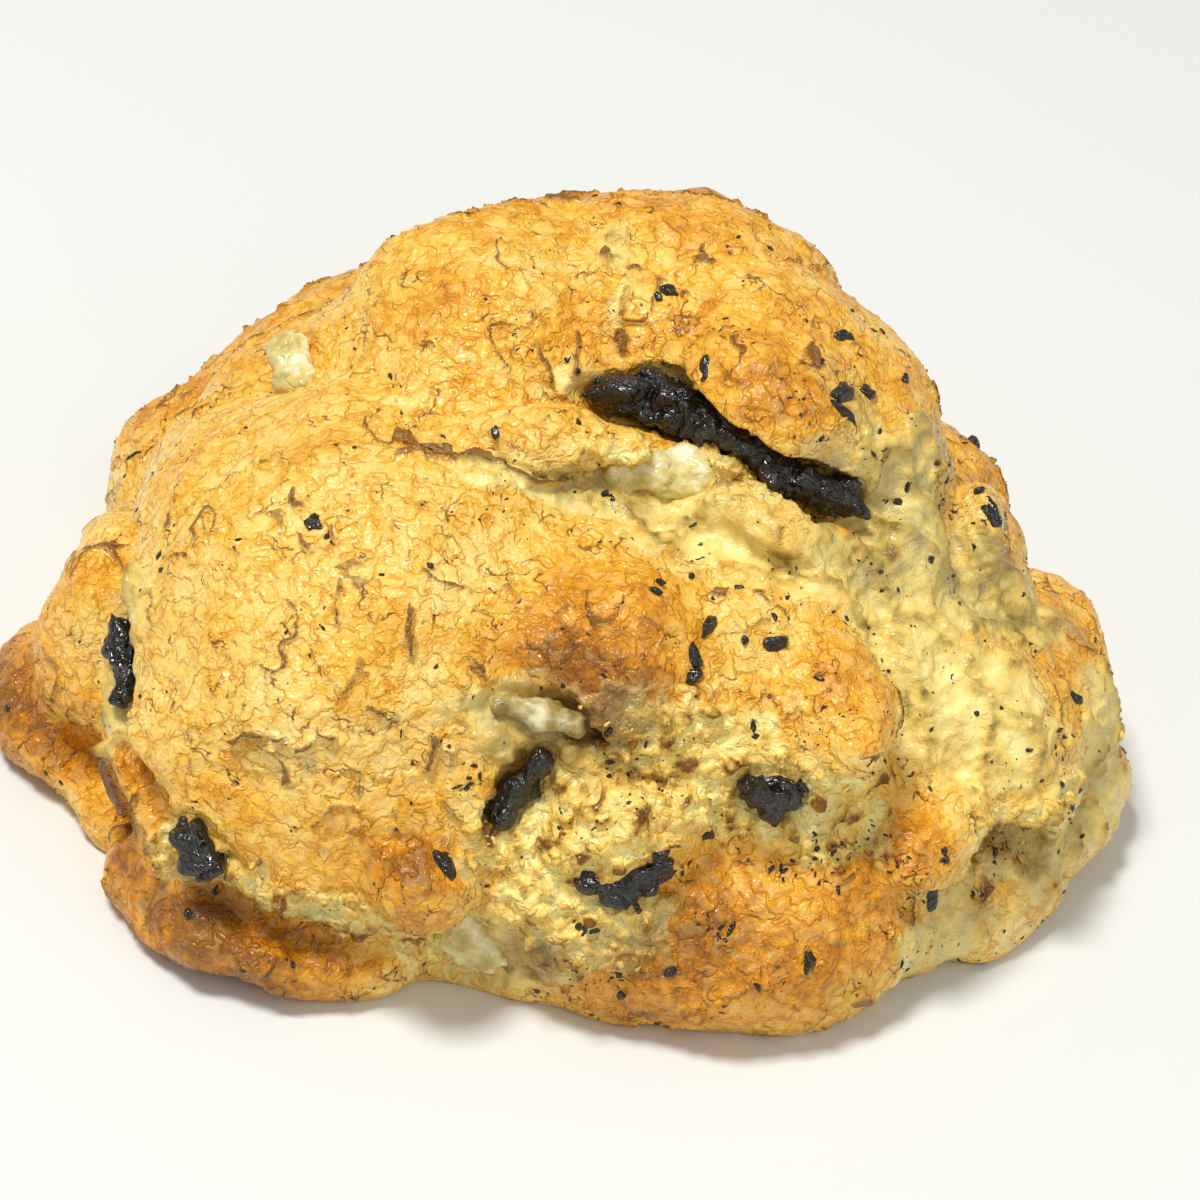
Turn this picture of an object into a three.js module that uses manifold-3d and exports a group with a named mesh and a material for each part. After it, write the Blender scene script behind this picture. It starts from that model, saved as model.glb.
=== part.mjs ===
// A thick, domed cookies and cream cookie: one baked mound of dough, with broken dark wafer and cream pieces
// set in it.
//
// Millimetres, +Z up. The cookie rests on its flat base at z = 0, and the origin is at the middle of that
// base. +X is the cookie's right and -Y its front, which is its torn, most lobed side.
//
// The dough is a distance field: lobes of dough that run into each other, less the gaps between them. The
// field is turned into triangles on a grid, cut flat at the base, and a pocket is cut for each piece set in it.
import * as THREE from 'three';
import { mergeVertices } from 'three/addons/utils/BufferGeometryUtils.js';
import Module from 'manifold-3d';

const wasm = await Module();
wasm.setup();

// ---- Driving dimensions ----

const WIDTH = 110; // left to right
const DEPTH = 90; // front to back
const HEIGHT = 50.5; // base to crown
const MIDDLE = [-0.35, 2.1]; // middle of the base, in the coordinates that the lists below are written in
const DOUGH_CELL = 2.8; // grid that the dough's surface is read on
const INSET_CELL = 1.4; // the same for the pieces set in it
const CELL_EDGE = 0.08; // share of a cell that its vertex keeps from each side
const POCKET_GAP = 0.6; // clear space round each set-in piece
const FLOOR_DEPTH = 6; // how far the dough runs on below the base before it is cut
const CHIP_SINK = 0.35; // share of a chip's radius that its middle lies below the crust
const BUMP = { swell: 0.9, rise: 0.6, grain: 0.28, crumb: 0.3 }; // how uneven the dough is

// ---- Lobes of dough: middle, half sizes, turn about Z in degrees, how softly each runs into the rest ----

const LOBES = [
  { name: 'core', at: [0, 3, 2], half: [47, 40, 37], turn: 0, blend: 6 },
  // the crown, split by a crack from back to front
  { name: 'crown_back', at: [3, 16, 22], half: [28, 24, 28], turn: 0, blend: 6 },
  { name: 'crown_right', at: [15, 8, 28], half: [18, 19, 21], turn: -15, blend: 2 },
  { name: 'crown_left', at: [-10, 11, 27], half: [18, 21, 22], turn: 10, blend: 3 },
  { name: 'crown_lip', at: [15, 2, 42.8], half: [9.5, 9, 5.6], turn: -15, blend: 2.5 },
  { name: 'left_slope', at: [-23, 7, 20], half: [15, 20, 19], turn: 20, blend: 5 },
  { name: 'left_shoulder', at: [-32, 1, 18], half: [10.5, 13.5, 14.5], turn: 10, blend: 3 },
  // the large smooth dome at the front left, and the nose that it ends in
  { name: 'dome', at: [-17, -11, 16], half: [27, 28, 26], turn: 0, blend: 3 },
  { name: 'dome_low', at: [-22, -19, 12], half: [20, 20, 15], turn: -15, blend: 5 },
  { name: 'dome_edge', at: [-8, -30, 21], half: [6, 7, 9], turn: -20, blend: 2 },
  { name: 'nose', at: [3, -16, 24], half: [15, 14, 13], turn: -20, blend: 4 },
  { name: 'nose_tip', at: [3.5, -22.5, 30.5], half: [9, 8, 6.5], turn: -10, blend: 5 },
  // what is left of the crust between the crown and the domes
  { name: 'tongue', at: [-4.2, -7.3, 41.3], half: [9, 3.2, 2.8], turn: -3, blend: 1.2 },
  { name: 'shelf_mound', at: [13.5, -10, 36.5], half: [7, 4, 4], turn: -27, blend: 1.2 },
  // the smaller dome at the front right and what lies under it
  { name: 'right_dome', at: [17, -16, 18], half: [15.5, 17, 18], turn: 10, blend: 4 },
  { name: 'right_knob', at: [24, -24, 27.5], half: [5.5, 7, 6], turn: 0, blend: 3 },
  { name: 'front_low', at: [14, -21, 7], half: [24, 20, 13], turn: 5, blend: 5 },
  { name: 'front_mid', at: [3, -22, 12], half: [14, 15, 13], turn: 0, blend: 5 },
  { name: 'front_knob', at: [7.5, -33.5, 19.5], half: [6, 5.5, 5], turn: 0, blend: 1.5 },
  { name: 'front_edge', at: [20, -32, 6], half: [12, 9, 7], turn: 10, blend: 3 },
  // the torn right side
  { name: 'right_in', at: [32, -9, 13], half: [12, 14, 15], turn: 0, blend: 5 },
  { name: 'right_drape', at: [29, -5, 26], half: [4, 8, 10], turn: -5, blend: 2 },
  { name: 'right_drape_low', at: [22, -9, 28], half: [5, 6, 8], turn: -5, blend: 2 },
  { name: 'right_slope', at: [39, -12.5, 12.5], half: [9.5, 11.5, 13], turn: 20, blend: 3 },
  { name: 'right_up', at: [43, -1, 13], half: [10, 13, 10], turn: 0, blend: 2 },
  { name: 'right_low', at: [46, -6.5, 5], half: [8.5, 11, 7], turn: 0, blend: 1.5 },
  { name: 'right_foot', at: [37, -16, 4], half: [14, 12, 7], turn: 35, blend: 3 },
  { name: 'right_ball', at: [33, -26.5, 15], half: [5.2, 5.5, 4.8], turn: 0, blend: 1.5 },
  { name: 'right_frill', at: [40, 1, 22], half: [4.5, 6, 4], turn: 0, blend: 1 },
  { name: 'edge_knob', at: [36, 3, 29], half: [3.5, 5, 4.5], turn: 0, blend: 1.5 },
  { name: 'edge_low', at: [35, 1, 21], half: [6, 8, 8], turn: 0, blend: 2 },
  // what has run out at the base on the left
  { name: 'left_lobe', at: [-42.5, -8.5, 14.5], half: [8, 11.5, 11], turn: 0, blend: 1 },
  { name: 'left_foot', at: [-45, -7, 4], half: [10, 12, 7.5], turn: 0, blend: 1.5 },
  { name: 'left_foot_low', at: [-39, -18, 3], half: [7, 7, 5], turn: 0, blend: 3 },
  { name: 'front_foot', at: [-24, -29, 4], half: [17, 13.5, 8], turn: -20, blend: 2 },
  { name: 'front_ball', at: [-11, -38, 15.5], half: [5.2, 5, 4.8], turn: 0, blend: 1 },
  // the back
  { name: 'back_left', at: [-18, 28, 13], half: [22, 17, 18], turn: 15, blend: 4 },
  { name: 'back_right', at: [10, 32, 13], half: [22, 15, 20], turn: -8, blend: 4 },
  { name: 'back_end', at: [30, 22, 9], half: [15, 16, 14], turn: 0, blend: 4 },
  { name: 'back_foot', at: [-34, 19, 8], half: [15, 16, 13], turn: 0, blend: 4 },
];

// ---- Gaps, folds and cracks: the line that each follows, its radius, or one for each point, and how soft
// its edges are ----

const GAPS = [
  {
    name: 'wafer_gap',
    line: [
      [-0.8, -2.4, 43.2],
      [4.4, -1, 43],
      [8.4, -2.5, 42.6],
      [13.5, -7, 43],
      [18.6, -6.4, 38.9],
      [24.6, -5.6, 35.6],
    ],
    radius: [1.7, 2.7, 2.7, 1.8, 2.4, 2.1],
    soft: 1,
  },
  {
    name: 'ridge_crack',
    line: [[-19, -10, 41.5], [-13, -12.5, 42.5], [-8, -12, 41.5], [-4, -13, 40.5]],
    radius: 0.9,
    soft: 0.8,
  },
  {
    name: 'ridge_fold',
    line: [[-4, -13, 40.5], [3, -13, 39], [12, -13, 37], [20, -16, 36]],
    radius: 1.2,
    soft: 1,
  },
  {
    name: 'crown_crack',
    line: [[-1, 20, 50], [-1.5, 15, 50], [0.5, 7, 49], [1, 2, 46]],
    radius: 1.1,
    soft: 1,
  },
  {
    name: 'nose_fold',
    line: [[-8.5, -34, 30], [-4, -32, 31], [0, -31, 30], [2, -31, 28]],
    radius: 1.8,
    soft: 1,
  },
  { name: 'nose_under', line: [[2, -30, 27.5], [7, -29.5, 27.5]], radius: 1.2, soft: 1 },
  {
    name: 'front_gap',
    line: [[0.1, -31.9, 27.5], [-2.8, -33.4, 23.4], [-5, -35.7, 20.3]],
    radius: [1.2, 1.8, 1.5],
    soft: 1,
  },
  { name: 'knob_crack', line: [[3.5, -34, 24], [1.5, -36.5, 20.5]], radius: 0.7, soft: 0.5 },
  {
    name: 'ball_crease',
    line: [[-15.5, -37.5, 18.5], [-12, -35.5, 21], [-8, -35.5, 19.5]],
    radius: 0.8,
    soft: 0.8,
  },
  { name: 'left_hollow', line: [[-43.5, -19, 7.5], [-38, -26, 8]], radius: 3.2, soft: 1.5 },
  {
    name: 'right_gap',
    line: [[27.5, -17, 31], [30.5, -20.5, 27], [31, -24, 22.5], [33, -27, 21]],
    radius: 2,
    soft: 2,
  },
  { name: 'right_valley', line: [[37, -2, 22], [41, -8, 17], [42, -12, 12]], radius: 1.5, soft: 1.5 },
  {
    name: 'left_gap',
    line: [[-43, -5, 28], [-41.5, -17, 25], [-39, -26, 20], [-35.5, -34, 16.5]],
    radius: 1.8,
    soft: 1.5,
  },
  {
    name: 'dome_under',
    line: [[-35.5, -34, 15.5], [-31, -38, 12], [-26.5, -39, 9], [-18, -41, 8], [-11, -40, 7]],
    radius: 2,
    soft: 1.5,
  },
  { name: 'ball_gap', line: [[33, -32.5, 12.5], [37.5, -29, 9.5]], radius: 1.9, soft: 1.2 },
  { name: 'torn_hole', line: [[39.5, -24, 13], [43.5, -21, 12.5], [45, -20, 9.5]], radius: 2.4, soft: 1.5 },
];

// ---- Where the crust is torn open and the crumb shows ----

const TORN = [
  {
    name: 'shelf',
    line: [[-4, -9, 41], [12, -11, 38], [24, -14, 33], [31, -16, 26], [38, -20, 16]],
    radius: 7,
  },
  { name: 'front', line: [[-1, -32, 26], [10, -33, 22], [4, -36, 17], [18, -35, 11]], radius: 7 },
  { name: 'right_base', line: [[36, -27, 9], [44, -20, 10]], radius: 8 },
  { name: 'left', line: [[-41, -18, 24], [-39, -26, 20]], radius: 3.5 },
  { name: 'dome_hem', line: [[-22, -39, 11], [-8, -39, 9]], radius: 4 },
  { name: 'crown', line: [[0, 12, 49], [0.5, 0, 45]], radius: 3.5 },
  { name: 'back', line: [[-24, 38, 20], [4, 38, 27], [24, 34, 12]], radius: 6 },
];

// ---- Pieces set in the dough: the line down the middle of each, and its radius, or one for each point ----

const WAFERS = [
  {
    name: 'wafer_long',
    line: [
      [1.2, -1.5, 42.7],
      [4.4, -0.7, 42.6],
      [8.4, -1.9, 41.9],
      [13.5, -6.4, 42.4],
      [18.5, -6.2, 38.7],
      [23.6, -5.7, 36.7],
    ],
    radius: [1.8, 2.4, 2.2, 1.2, 2, 1.4],
  },
  {
    name: 'wafer_left',
    line: [[-41.1, -19.3, 23.6], [-39.9, -22.5, 21.6], [-39.2, -24.7, 20.5]],
    radius: [0.9, 1.5, 0.8],
  },
  { name: 'wafer_foot', line: [[-31.4, -37.4, 15.8], [-29.8, -38.4, 14.3]], radius: 1.5 },
  {
    name: 'wafer_gap',
    line: [[-1.2, -32.3, 24.9], [-3, -33.1, 22.6], [-4.8, -34.8, 20]],
    radius: [1, 1.3, 1],
  },
  {
    name: 'wafer_crescent',
    line: [[3.9, -37.9, 17.2], [7.7, -38.2, 16.3], [10.3, -36.8, 18.3]],
    radius: [1, 1.1, 1.5],
  },
  { name: 'wafer_right', line: [[17.8, -31.9, 23.9], [19.8, -31.4, 23.4]], radius: 1.6 },
];
const CREAMS = [
  { name: 'cream_left', line: [[-29.4, 6.8, 36.4], [-28.1, 4.1, 36.2]], radius: 2.1 },
  { name: 'cream_shelf', line: [[2.8, -7.9, 39.1], [9.2, -6.4, 38.3]], radius: [1.9, 2.3] },
  {
    name: 'cream_fold',
    line: [[-5.4, -30.8, 29.7], [-1.9, -30.6, 29], [1.3, -30.5, 28.5]],
    radius: [1, 1.5, 1.1],
  },
  { name: 'cream_base', line: [[-6.7, -36.7, 8.3], [-4.6, -36.8, 5.2]], radius: 2.2 },
];

// ---- Small wafer chips that stand a little out of the crust, fused to it: roughly where, and their radius ----

const CHIPS = [
  // crown
  { near: [9.1, -2.3, 47.3], radius: 1.3 },
  { near: [5.6, 8.1, 48.3], radius: 1 },
  { near: [21.7, 6.6, 46.5], radius: 1.4 },
  { near: [22, -1.7, 46], radius: 1.6 },
  { near: [22.2, -3.8, 45.1], radius: 1.3 },
  { near: [24.5, 1.4, 44.2], radius: 1 },
  { near: [27.9, 5.9, 43.1], radius: 1 },
  { near: [37.8, 0.1, 32.9], radius: 1.3 },
  { near: [29.5, -1.8, 37], radius: 1.2 },
  // the right dome and the front below it
  { near: [11.8, -23.2, 35], radius: 1.1 },
  { near: [10.9, -26.1, 33.9], radius: 1.1 },
  { near: [11.3, -27.6, 32.8], radius: 1 },
  { near: [18.1, -22.5, 33.4], radius: 1.2 },
  { near: [14, -33.1, 19.2], radius: 1.3 },
  { near: [4.2, -31.2, 29], radius: 1.2 },
  { near: [4.1, -39.9, 12.5], radius: 1.6 },
  { near: [24, -38, 10], radius: 1 },
  // right and left
  { near: [47.5, -10, 20.2], radius: 1.1 },
  { near: [34.8, -27.5, 9.5], radius: 1.7 },
  { near: [45.5, -18, 11.5], radius: 1.3 },
  { near: [-8.4, -40.4, 19.1], radius: 1.3 },
  { near: [-30.7, -39.1, 8.2], radius: 1.1 },
  { near: [-23.2, -20.5, 39.5], radius: 1 },
  // back
  { near: [-24, 24, 34], radius: 1.7 },
  { near: [-6, 40, 26], radius: 1.5 },
  { near: [12, 44, 22], radius: 1.8 },
  { near: [22, 34, 28], radius: 1.4 },
  { near: [36, 28, 16], radius: 1.6 },
  { near: [-34, 30, 16], radius: 1.5 },
  { near: [-44, 16, 14], radius: 1.7 },
  { near: [48, 6, 10], radius: 1.5 },
];

// ---- Distance fields ----

const clamp = (value, low, high) => Math.min(high, Math.max(low, value));

// The lesser of two distances, with the corner between them rounded over a width of soft.
function softMin(a, b, soft) {
  const corner = Math.max(soft - Math.abs(a - b), 0) / soft;
  return Math.min(a, b) - corner * corner * soft * 0.25;
}

const softMax = (a, b, soft) => -softMin(-a, -b, soft);

function lobeDistance([x, y, z], { at, half, turn }) {
  const angle = THREE.MathUtils.degToRad(turn);
  const dx = x - at[0];
  const dy = y - at[1];
  const u = (Math.cos(angle) * dx + Math.sin(angle) * dy) / half[0];
  const v = (Math.cos(angle) * dy - Math.sin(angle) * dx) / half[1];
  const w = (z - at[2]) / half[2];
  const reach = Math.hypot(u, v, w);
  const slope = Math.hypot(u / half[0], v / half[1], w / half[2]) + 1e-9;
  return (reach * (reach - 1)) / slope;
}

const radiusAt = (radius, i) => (Array.isArray(radius) ? radius[i] : radius);

// How far a point is from a bar round a line of straight stretches. The bar's radius is the same all along, or is
// given for each of the line's points and changes evenly between them.
function barDistance(point, line, radius) {
  let nearest = Infinity;
  for (let i = 0; i + 1 < line.length; i++) {
    const along = line[i + 1].map((c, k) => c - line[i][k]);
    const from = point.map((c, k) => c - line[i][k]);
    const length2 = along.reduce((sum, c) => sum + c * c, 0);
    const share = clamp(from.reduce((sum, c, k) => sum + c * along[k], 0) / length2, 0, 1);
    const away = Math.hypot(...from.map((c, k) => c - share * along[k]));
    nearest = Math.min(nearest, away - THREE.MathUtils.lerp(radiusAt(radius, i), radiusAt(radius, i + 1), share));
  }
  return nearest;
}

// A smooth uneven value, mostly from -1 to 1, with swells about wave millimetres apart: a sum of plane waves,
// with their directions spread by the golden angle.
function unevenness(wave, seed) {
  const count = 7;
  const goldenAngle = 2.39996;
  const waves = Array.from({ length: count }, (_, i) => {
    const up = 1 - (2 * (i + 0.5)) / count;
    const across = Math.sqrt(1 - up * up);
    const angle = goldenAngle * i + seed * 1.37;
    const pace = ((2 * Math.PI) / wave) * (0.7 + 0.6 * ((i * 0.618 + seed * 0.37) % 1));
    const way = [across * Math.cos(angle) * pace, across * Math.sin(angle) * pace, up * pace];
    return { way, start: 2.1 * i * i + seed * 2.3 };
  });
  return ([x, y, z]) =>
    waves.reduce((sum, { way, start }) => sum + Math.sin(x * way[0] + y * way[1] + z * way[2] + start), 0) /
    Math.sqrt(count);
}

const swellX = unevenness(21, 1);
const swellY = unevenness(23, 2);
const swellZ = unevenness(19, 3);
const grain = unevenness(8.5, 4);
const crumb = unevenness(7.5, 5);

// From 1 in the middle of a torn place to 0 on whole crust.
function tornShare(point) {
  return TORN.reduce((most, { line, radius }) => {
    const share = clamp(1.5 - barDistance(point, line, 0) / radius, 0, 1);
    return Math.max(most, share * share * (3 - 2 * share));
  }, 0);
}

function doughDistance(point) {
  const swollen = [
    point[0] + BUMP.swell * swellX(point),
    point[1] + BUMP.swell * swellY(point),
    point[2] + BUMP.rise * swellZ(point),
  ];
  let distance = Infinity;
  for (const lobe of LOBES) {
    const next = lobeDistance(swollen, lobe);
    distance = distance === Infinity ? next : softMin(distance, next, lobe.blend);
  }
  distance += BUMP.grain * grain(point);
  distance += BUMP.crumb * tornShare(point) * crumb(point);
  for (const gap of GAPS) distance = softMax(distance, -barDistance(point, gap.line, gap.radius), gap.soft);
  return Math.max(distance, -point[2] - FLOOR_DEPTH + DOUGH_CELL);
}

// A broken piece: a thick line with an uneven, knobbly surface.
const brokenFace = unevenness(4, 6);
const insetDistance = (point, { line, radius }) => barDistance(point, line, radius) + 0.3 * brokenFace(point);

// ---- From a field to triangles ----

// One vertex in each grid cell that the surface passes through, at the middle of the places where the cell's
// edges cross it, and one quad round each grid edge that crosses the surface.
function surfaceOf(field, low, high, cell) {
  const count = low.map((c, k) => Math.ceil((high[k] - c) / cell) + 1);
  const gridPoint = (i, j, k) => [low[0] + i * cell, low[1] + j * cell, low[2] + k * cell];
  const index = (i, j, k) => (i * count[1] + j) * count[2] + k;
  const values = new Float64Array(count[0] * count[1] * count[2]);
  const eachCell = (use, inset = 0) => {
    for (let i = 0; i < count[0] - inset; i++) {
      for (let j = 0; j < count[1] - inset; j++) {
        for (let k = 0; k < count[2] - inset; k++) use(i, j, k);
      }
    }
  };
  eachCell((i, j, k) => (values[index(i, j, k)] = field(gridPoint(i, j, k))));

  // Where the two inside corners of a cell's face lie opposite each other, the surface would touch itself along
  // an edge, so the nearer of the two outside corners is filled.
  const strides = [count[1] * count[2], count[2], 1];
  let touching = true;
  while (touching) {
    touching = false;
    eachCell((i, j, k) => {
      for (let axis = 0; axis < 3; axis++) {
        const [p, q] = [strides[(axis + 1) % 3], strides[(axis + 2) % 3]];
        const face = [0, p, p + q, q].map((offset) => index(i, j, k) + offset);
        const [a, b, c, d] = face.map((n) => values[n] < 0);
        if (a !== c || b !== d || a === b) continue;
        const outside = a ? [face[1], face[3]] : [face[0], face[2]];
        values[values[outside[0]] < values[outside[1]] ? outside[0] : outside[1]] = -CELL_EDGE * cell;
        touching = true;
      }
    }, 1);
  }

  const corners = [0, 1, 2, 3, 4, 5, 6, 7].map((n) => [n & 1, (n >> 1) & 1, (n >> 2) & 1]);
  const edges = corners.flatMap((corner, m) => [1, 2, 4].filter((bit) => !(m & bit)).map((bit) => [m, m | bit]));
  const positions = [];
  const vertexOf = new Map();
  eachCell((i, j, k) => {
    const at = corners.map(([a, b, c]) => values[index(i + a, j + b, k + c)]);
    const crossed = edges.filter(([m, n]) => at[m] < 0 !== at[n] < 0);
    if (!crossed.length) return;
    const sum = [0, 0, 0];
    for (const [m, n] of crossed) {
      const share = at[m] / (at[m] - at[n]);
      corners[m].forEach((c, axis) => (sum[axis] += c + share * (corners[n][axis] - c)));
    }
    vertexOf.set(index(i, j, k), positions.length / 3);
    const within = sum.map((c) => clamp(c / crossed.length, CELL_EDGE, 1 - CELL_EDGE));
    positions.push(...gridPoint(i, j, k).map((c, axis) => c + cell * within[axis]));
  }, 1);

  const triangles = [];
  const steps = [[1, 0, 0], [0, 1, 0], [0, 0, 1]];
  eachCell((i, j, k) => {
    const inside = values[index(i, j, k)] < 0;
    steps.forEach((step, axis) => {
      const [p, q] = [steps[(axis + 1) % 3], steps[(axis + 2) % 3]];
      const here = [i, j, k];
      if (here[(axis + 1) % 3] === 0 || here[(axis + 2) % 3] === 0) return;
      if (values[index(i + step[0], j + step[1], k + step[2])] < 0 === inside) return;
      const vertexBack = (a, b) => vertexOf.get(index(...here.map((c, n) => c - a * p[n] - b * q[n])));
      const round = [vertexBack(0, 0), vertexBack(1, 0), vertexBack(1, 1), vertexBack(0, 1)];
      const [a, b, c, d] = inside ? round : round.reverse();
      triangles.push(a, b, c, a, c, d);
    });
  }, 1);
  const surface = new THREE.BufferGeometry();
  surface.setAttribute('position', new THREE.Float32BufferAttribute(positions, 3));
  return surface.setIndex(triangles);
}

// ---- Solids: joined and cut with manifold-3d ----

function toSolid(geometry) {
  const bare = geometry.clone();
  bare.deleteAttribute('normal');
  bare.deleteAttribute('uv');
  const merged = mergeVertices(bare, 1e-4);
  return new wasm.Manifold(
    new wasm.Mesh({
      numProp: 3,
      vertProperties: new Float32Array(merged.attributes.position.array),
      triVerts: new Uint32Array(merged.index.array),
    }),
  );
}

function toGeometry(solid) {
  const mesh = solid.getMesh();
  const geometry = new THREE.BufferGeometry();
  geometry.setAttribute('position', new THREE.BufferAttribute(mesh.vertProperties, 3));
  geometry.setIndex(new THREE.BufferAttribute(mesh.triVerts, 1));
  geometry.translate(-MIDDLE[0], -MIDDLE[1], 0);
  geometry.computeVertexNormals();
  return geometry;
}

// The largest of a solid's separate bodies, without loose scraps.
const largestOf = (solid) => solid.decompose().sort((a, b) => b.volume() - a.volume())[0];

function insetSolid(piece, swell) {
  const margin = Math.max(...[piece.radius].flat()) + swell + 2 * INSET_CELL;
  const onGrid = (c) => INSET_CELL * Math.floor(c / INSET_CELL); // a piece and its pocket share one grid
  const low = [0, 1, 2].map((axis) => onGrid(Math.min(...piece.line.map((place) => place[axis])) - margin));
  const high = [0, 1, 2].map((axis) => Math.max(...piece.line.map((place) => place[axis])) + margin);
  return toSolid(surfaceOf((point) => insetDistance(point, piece) - swell, low, high, INSET_CELL));
}

// The nearest place on the dough's surface, and the way that the surface faces there.
function onCrust(near) {
  const step = 0.5;
  let point = near;
  let out;
  for (let pass = 0; pass < 4; pass++) {
    const slope = [0, 1, 2].map((axis) => {
      const side = (sign) => doughDistance(point.map((c, k) => c + (k === axis ? sign * step : 0)));
      return (side(1) - side(-1)) / (2 * step);
    });
    const steepness = Math.hypot(...slope);
    out = slope.map((c) => c / steepness);
    const distance = doughDistance(point) / steepness;
    point = point.map((c, k) => c - distance * out[k]);
  }
  return { point, out };
}

const UP = new THREE.Vector3(0, 0, 1);

function chipSolid({ near, radius }) {
  const { point, out } = onCrust(near);
  const chip = new THREE.IcosahedronGeometry(radius);
  chip.rotateZ(near[0]);
  chip.scale(1, 1, 0.7);
  chip.applyQuaternion(new THREE.Quaternion().setFromUnitVectors(UP, new THREE.Vector3(...out)));
  chip.translate(...point.map((c, k) => c - CHIP_SINK * radius * out[k]));
  return toSolid(chip);
}

function doughSolid() {
  const reach = [WIDTH / 2 + 6, DEPTH / 2 + 8];
  const low = [-reach[0], -reach[1], -FLOOR_DEPTH];
  const high = [reach[0], reach[1], HEIGHT + 5];
  let solid = toSolid(surfaceOf(doughDistance, low, high, DOUGH_CELL));
  const aboveBase = new THREE.BoxGeometry(4 * WIDTH, 4 * WIDTH, 2 * HEIGHT).translate(0, 0, HEIGHT);
  for (const chip of CHIPS) solid = solid.add(chipSolid(chip));
  solid = solid.intersect(toSolid(aboveBase));
  for (const piece of [...WAFERS, ...CREAMS]) solid = solid.subtract(insetSolid(piece, POCKET_GAP));
  return largestOf(solid);
}

// ---- The cookie ----

const crust = new THREE.MeshStandardMaterial({ color: 0xe3b263, roughness: 0.6, metalness: 0 });
const wafer = new THREE.MeshStandardMaterial({ color: 0x1d1a18, roughness: 0.45, metalness: 0 });
const cream = new THREE.MeshStandardMaterial({ color: 0xd9d3a6, roughness: 0.35, metalness: 0 });

function named(name, solid, material) {
  const mesh = new THREE.Mesh(toGeometry(solid), material);
  mesh.name = name;
  return mesh;
}

const cookie = new THREE.Group();
cookie.add(named('dough', doughSolid(), crust));
for (const piece of WAFERS) cookie.add(named(piece.name, insetSolid(piece, 0), wafer));
for (const piece of CREAMS) cookie.add(named(piece.name, insetSolid(piece, 0), cream));

export default cookie;
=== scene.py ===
"""A thick, domed cookies and cream cookie: torn, baked dough with dark wafer and cream pieces set in it.

The dough's solid is a distance field of lobes and gaps. This script reads the same field on a much finer
grid, adds the crust's crinkles, the cracks and the torn crumb as relief, and sets finely broken pieces where
the solids' plain ones are. The lists, the relief and the materials are in millimetres, the scene in metres.
"""

import itertools
import math

import bmesh
import bpy
import numpy as np
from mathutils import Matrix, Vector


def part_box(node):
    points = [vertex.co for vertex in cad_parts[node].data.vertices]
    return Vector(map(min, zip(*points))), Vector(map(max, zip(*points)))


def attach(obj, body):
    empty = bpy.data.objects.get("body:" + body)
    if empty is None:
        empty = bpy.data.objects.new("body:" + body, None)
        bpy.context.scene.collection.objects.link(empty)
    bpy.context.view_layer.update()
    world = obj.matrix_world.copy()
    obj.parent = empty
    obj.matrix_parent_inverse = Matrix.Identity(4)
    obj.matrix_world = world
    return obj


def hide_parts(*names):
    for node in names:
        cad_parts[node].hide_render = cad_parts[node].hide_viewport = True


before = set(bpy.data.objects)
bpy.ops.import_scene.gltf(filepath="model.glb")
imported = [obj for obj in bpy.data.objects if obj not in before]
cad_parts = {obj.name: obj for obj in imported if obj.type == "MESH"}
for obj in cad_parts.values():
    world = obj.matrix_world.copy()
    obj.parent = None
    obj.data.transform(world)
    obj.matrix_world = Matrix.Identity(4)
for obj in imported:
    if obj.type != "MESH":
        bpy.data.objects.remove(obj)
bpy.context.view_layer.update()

import openvdb
from mathutils import Matrix, Vector

MM = 0.001
MIDDLE = np.array([-0.35, 2.1, 0])  # middle of the cookie's base, in the coordinates of the lists below
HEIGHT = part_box("dough")[1][2] / MM

DOUGH_CELL = 0.31  # grid that the dough's surface is read on
INSET_CELL = 0.2  # grid for the set-in pieces
BUMP = {"swell": 0.9, "rise": 0.6, "grain": 0.28, "crumb": 0.3}  # how uneven the solid is

# ---- Relief that this script adds to the dough ----

CRUST = {"swell": 0.18, "flakes": 0.24, "swollen_flakes": 0.08, "creases": 0.13}
STRETCH = {"folds": 0.85, "ripples": 0.4, "grain": 0.13}
CRUMB = {"swell": 0.35, "lumps": 0.6, "grains": 0.6, "pits": 1.1}
SINK = {"crack": 0.5, "opened": 0.5, "stretched": 0.35, "crumbly": 0.5}  # how far each lies below the crust
PUFF = 0.15  # how far the whole skin stands out
LIP = {"height": 0.55, "reach": 1.8}  # how the dough rises round a set-in piece
ZONE_EDGE = (-0.12, 0.14)  # depths in a torn zone between which it takes over from the crust

# ---- The dough's lobes: middle, half sizes, turn about Z in degrees, how softly each runs into the rest ----

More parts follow.
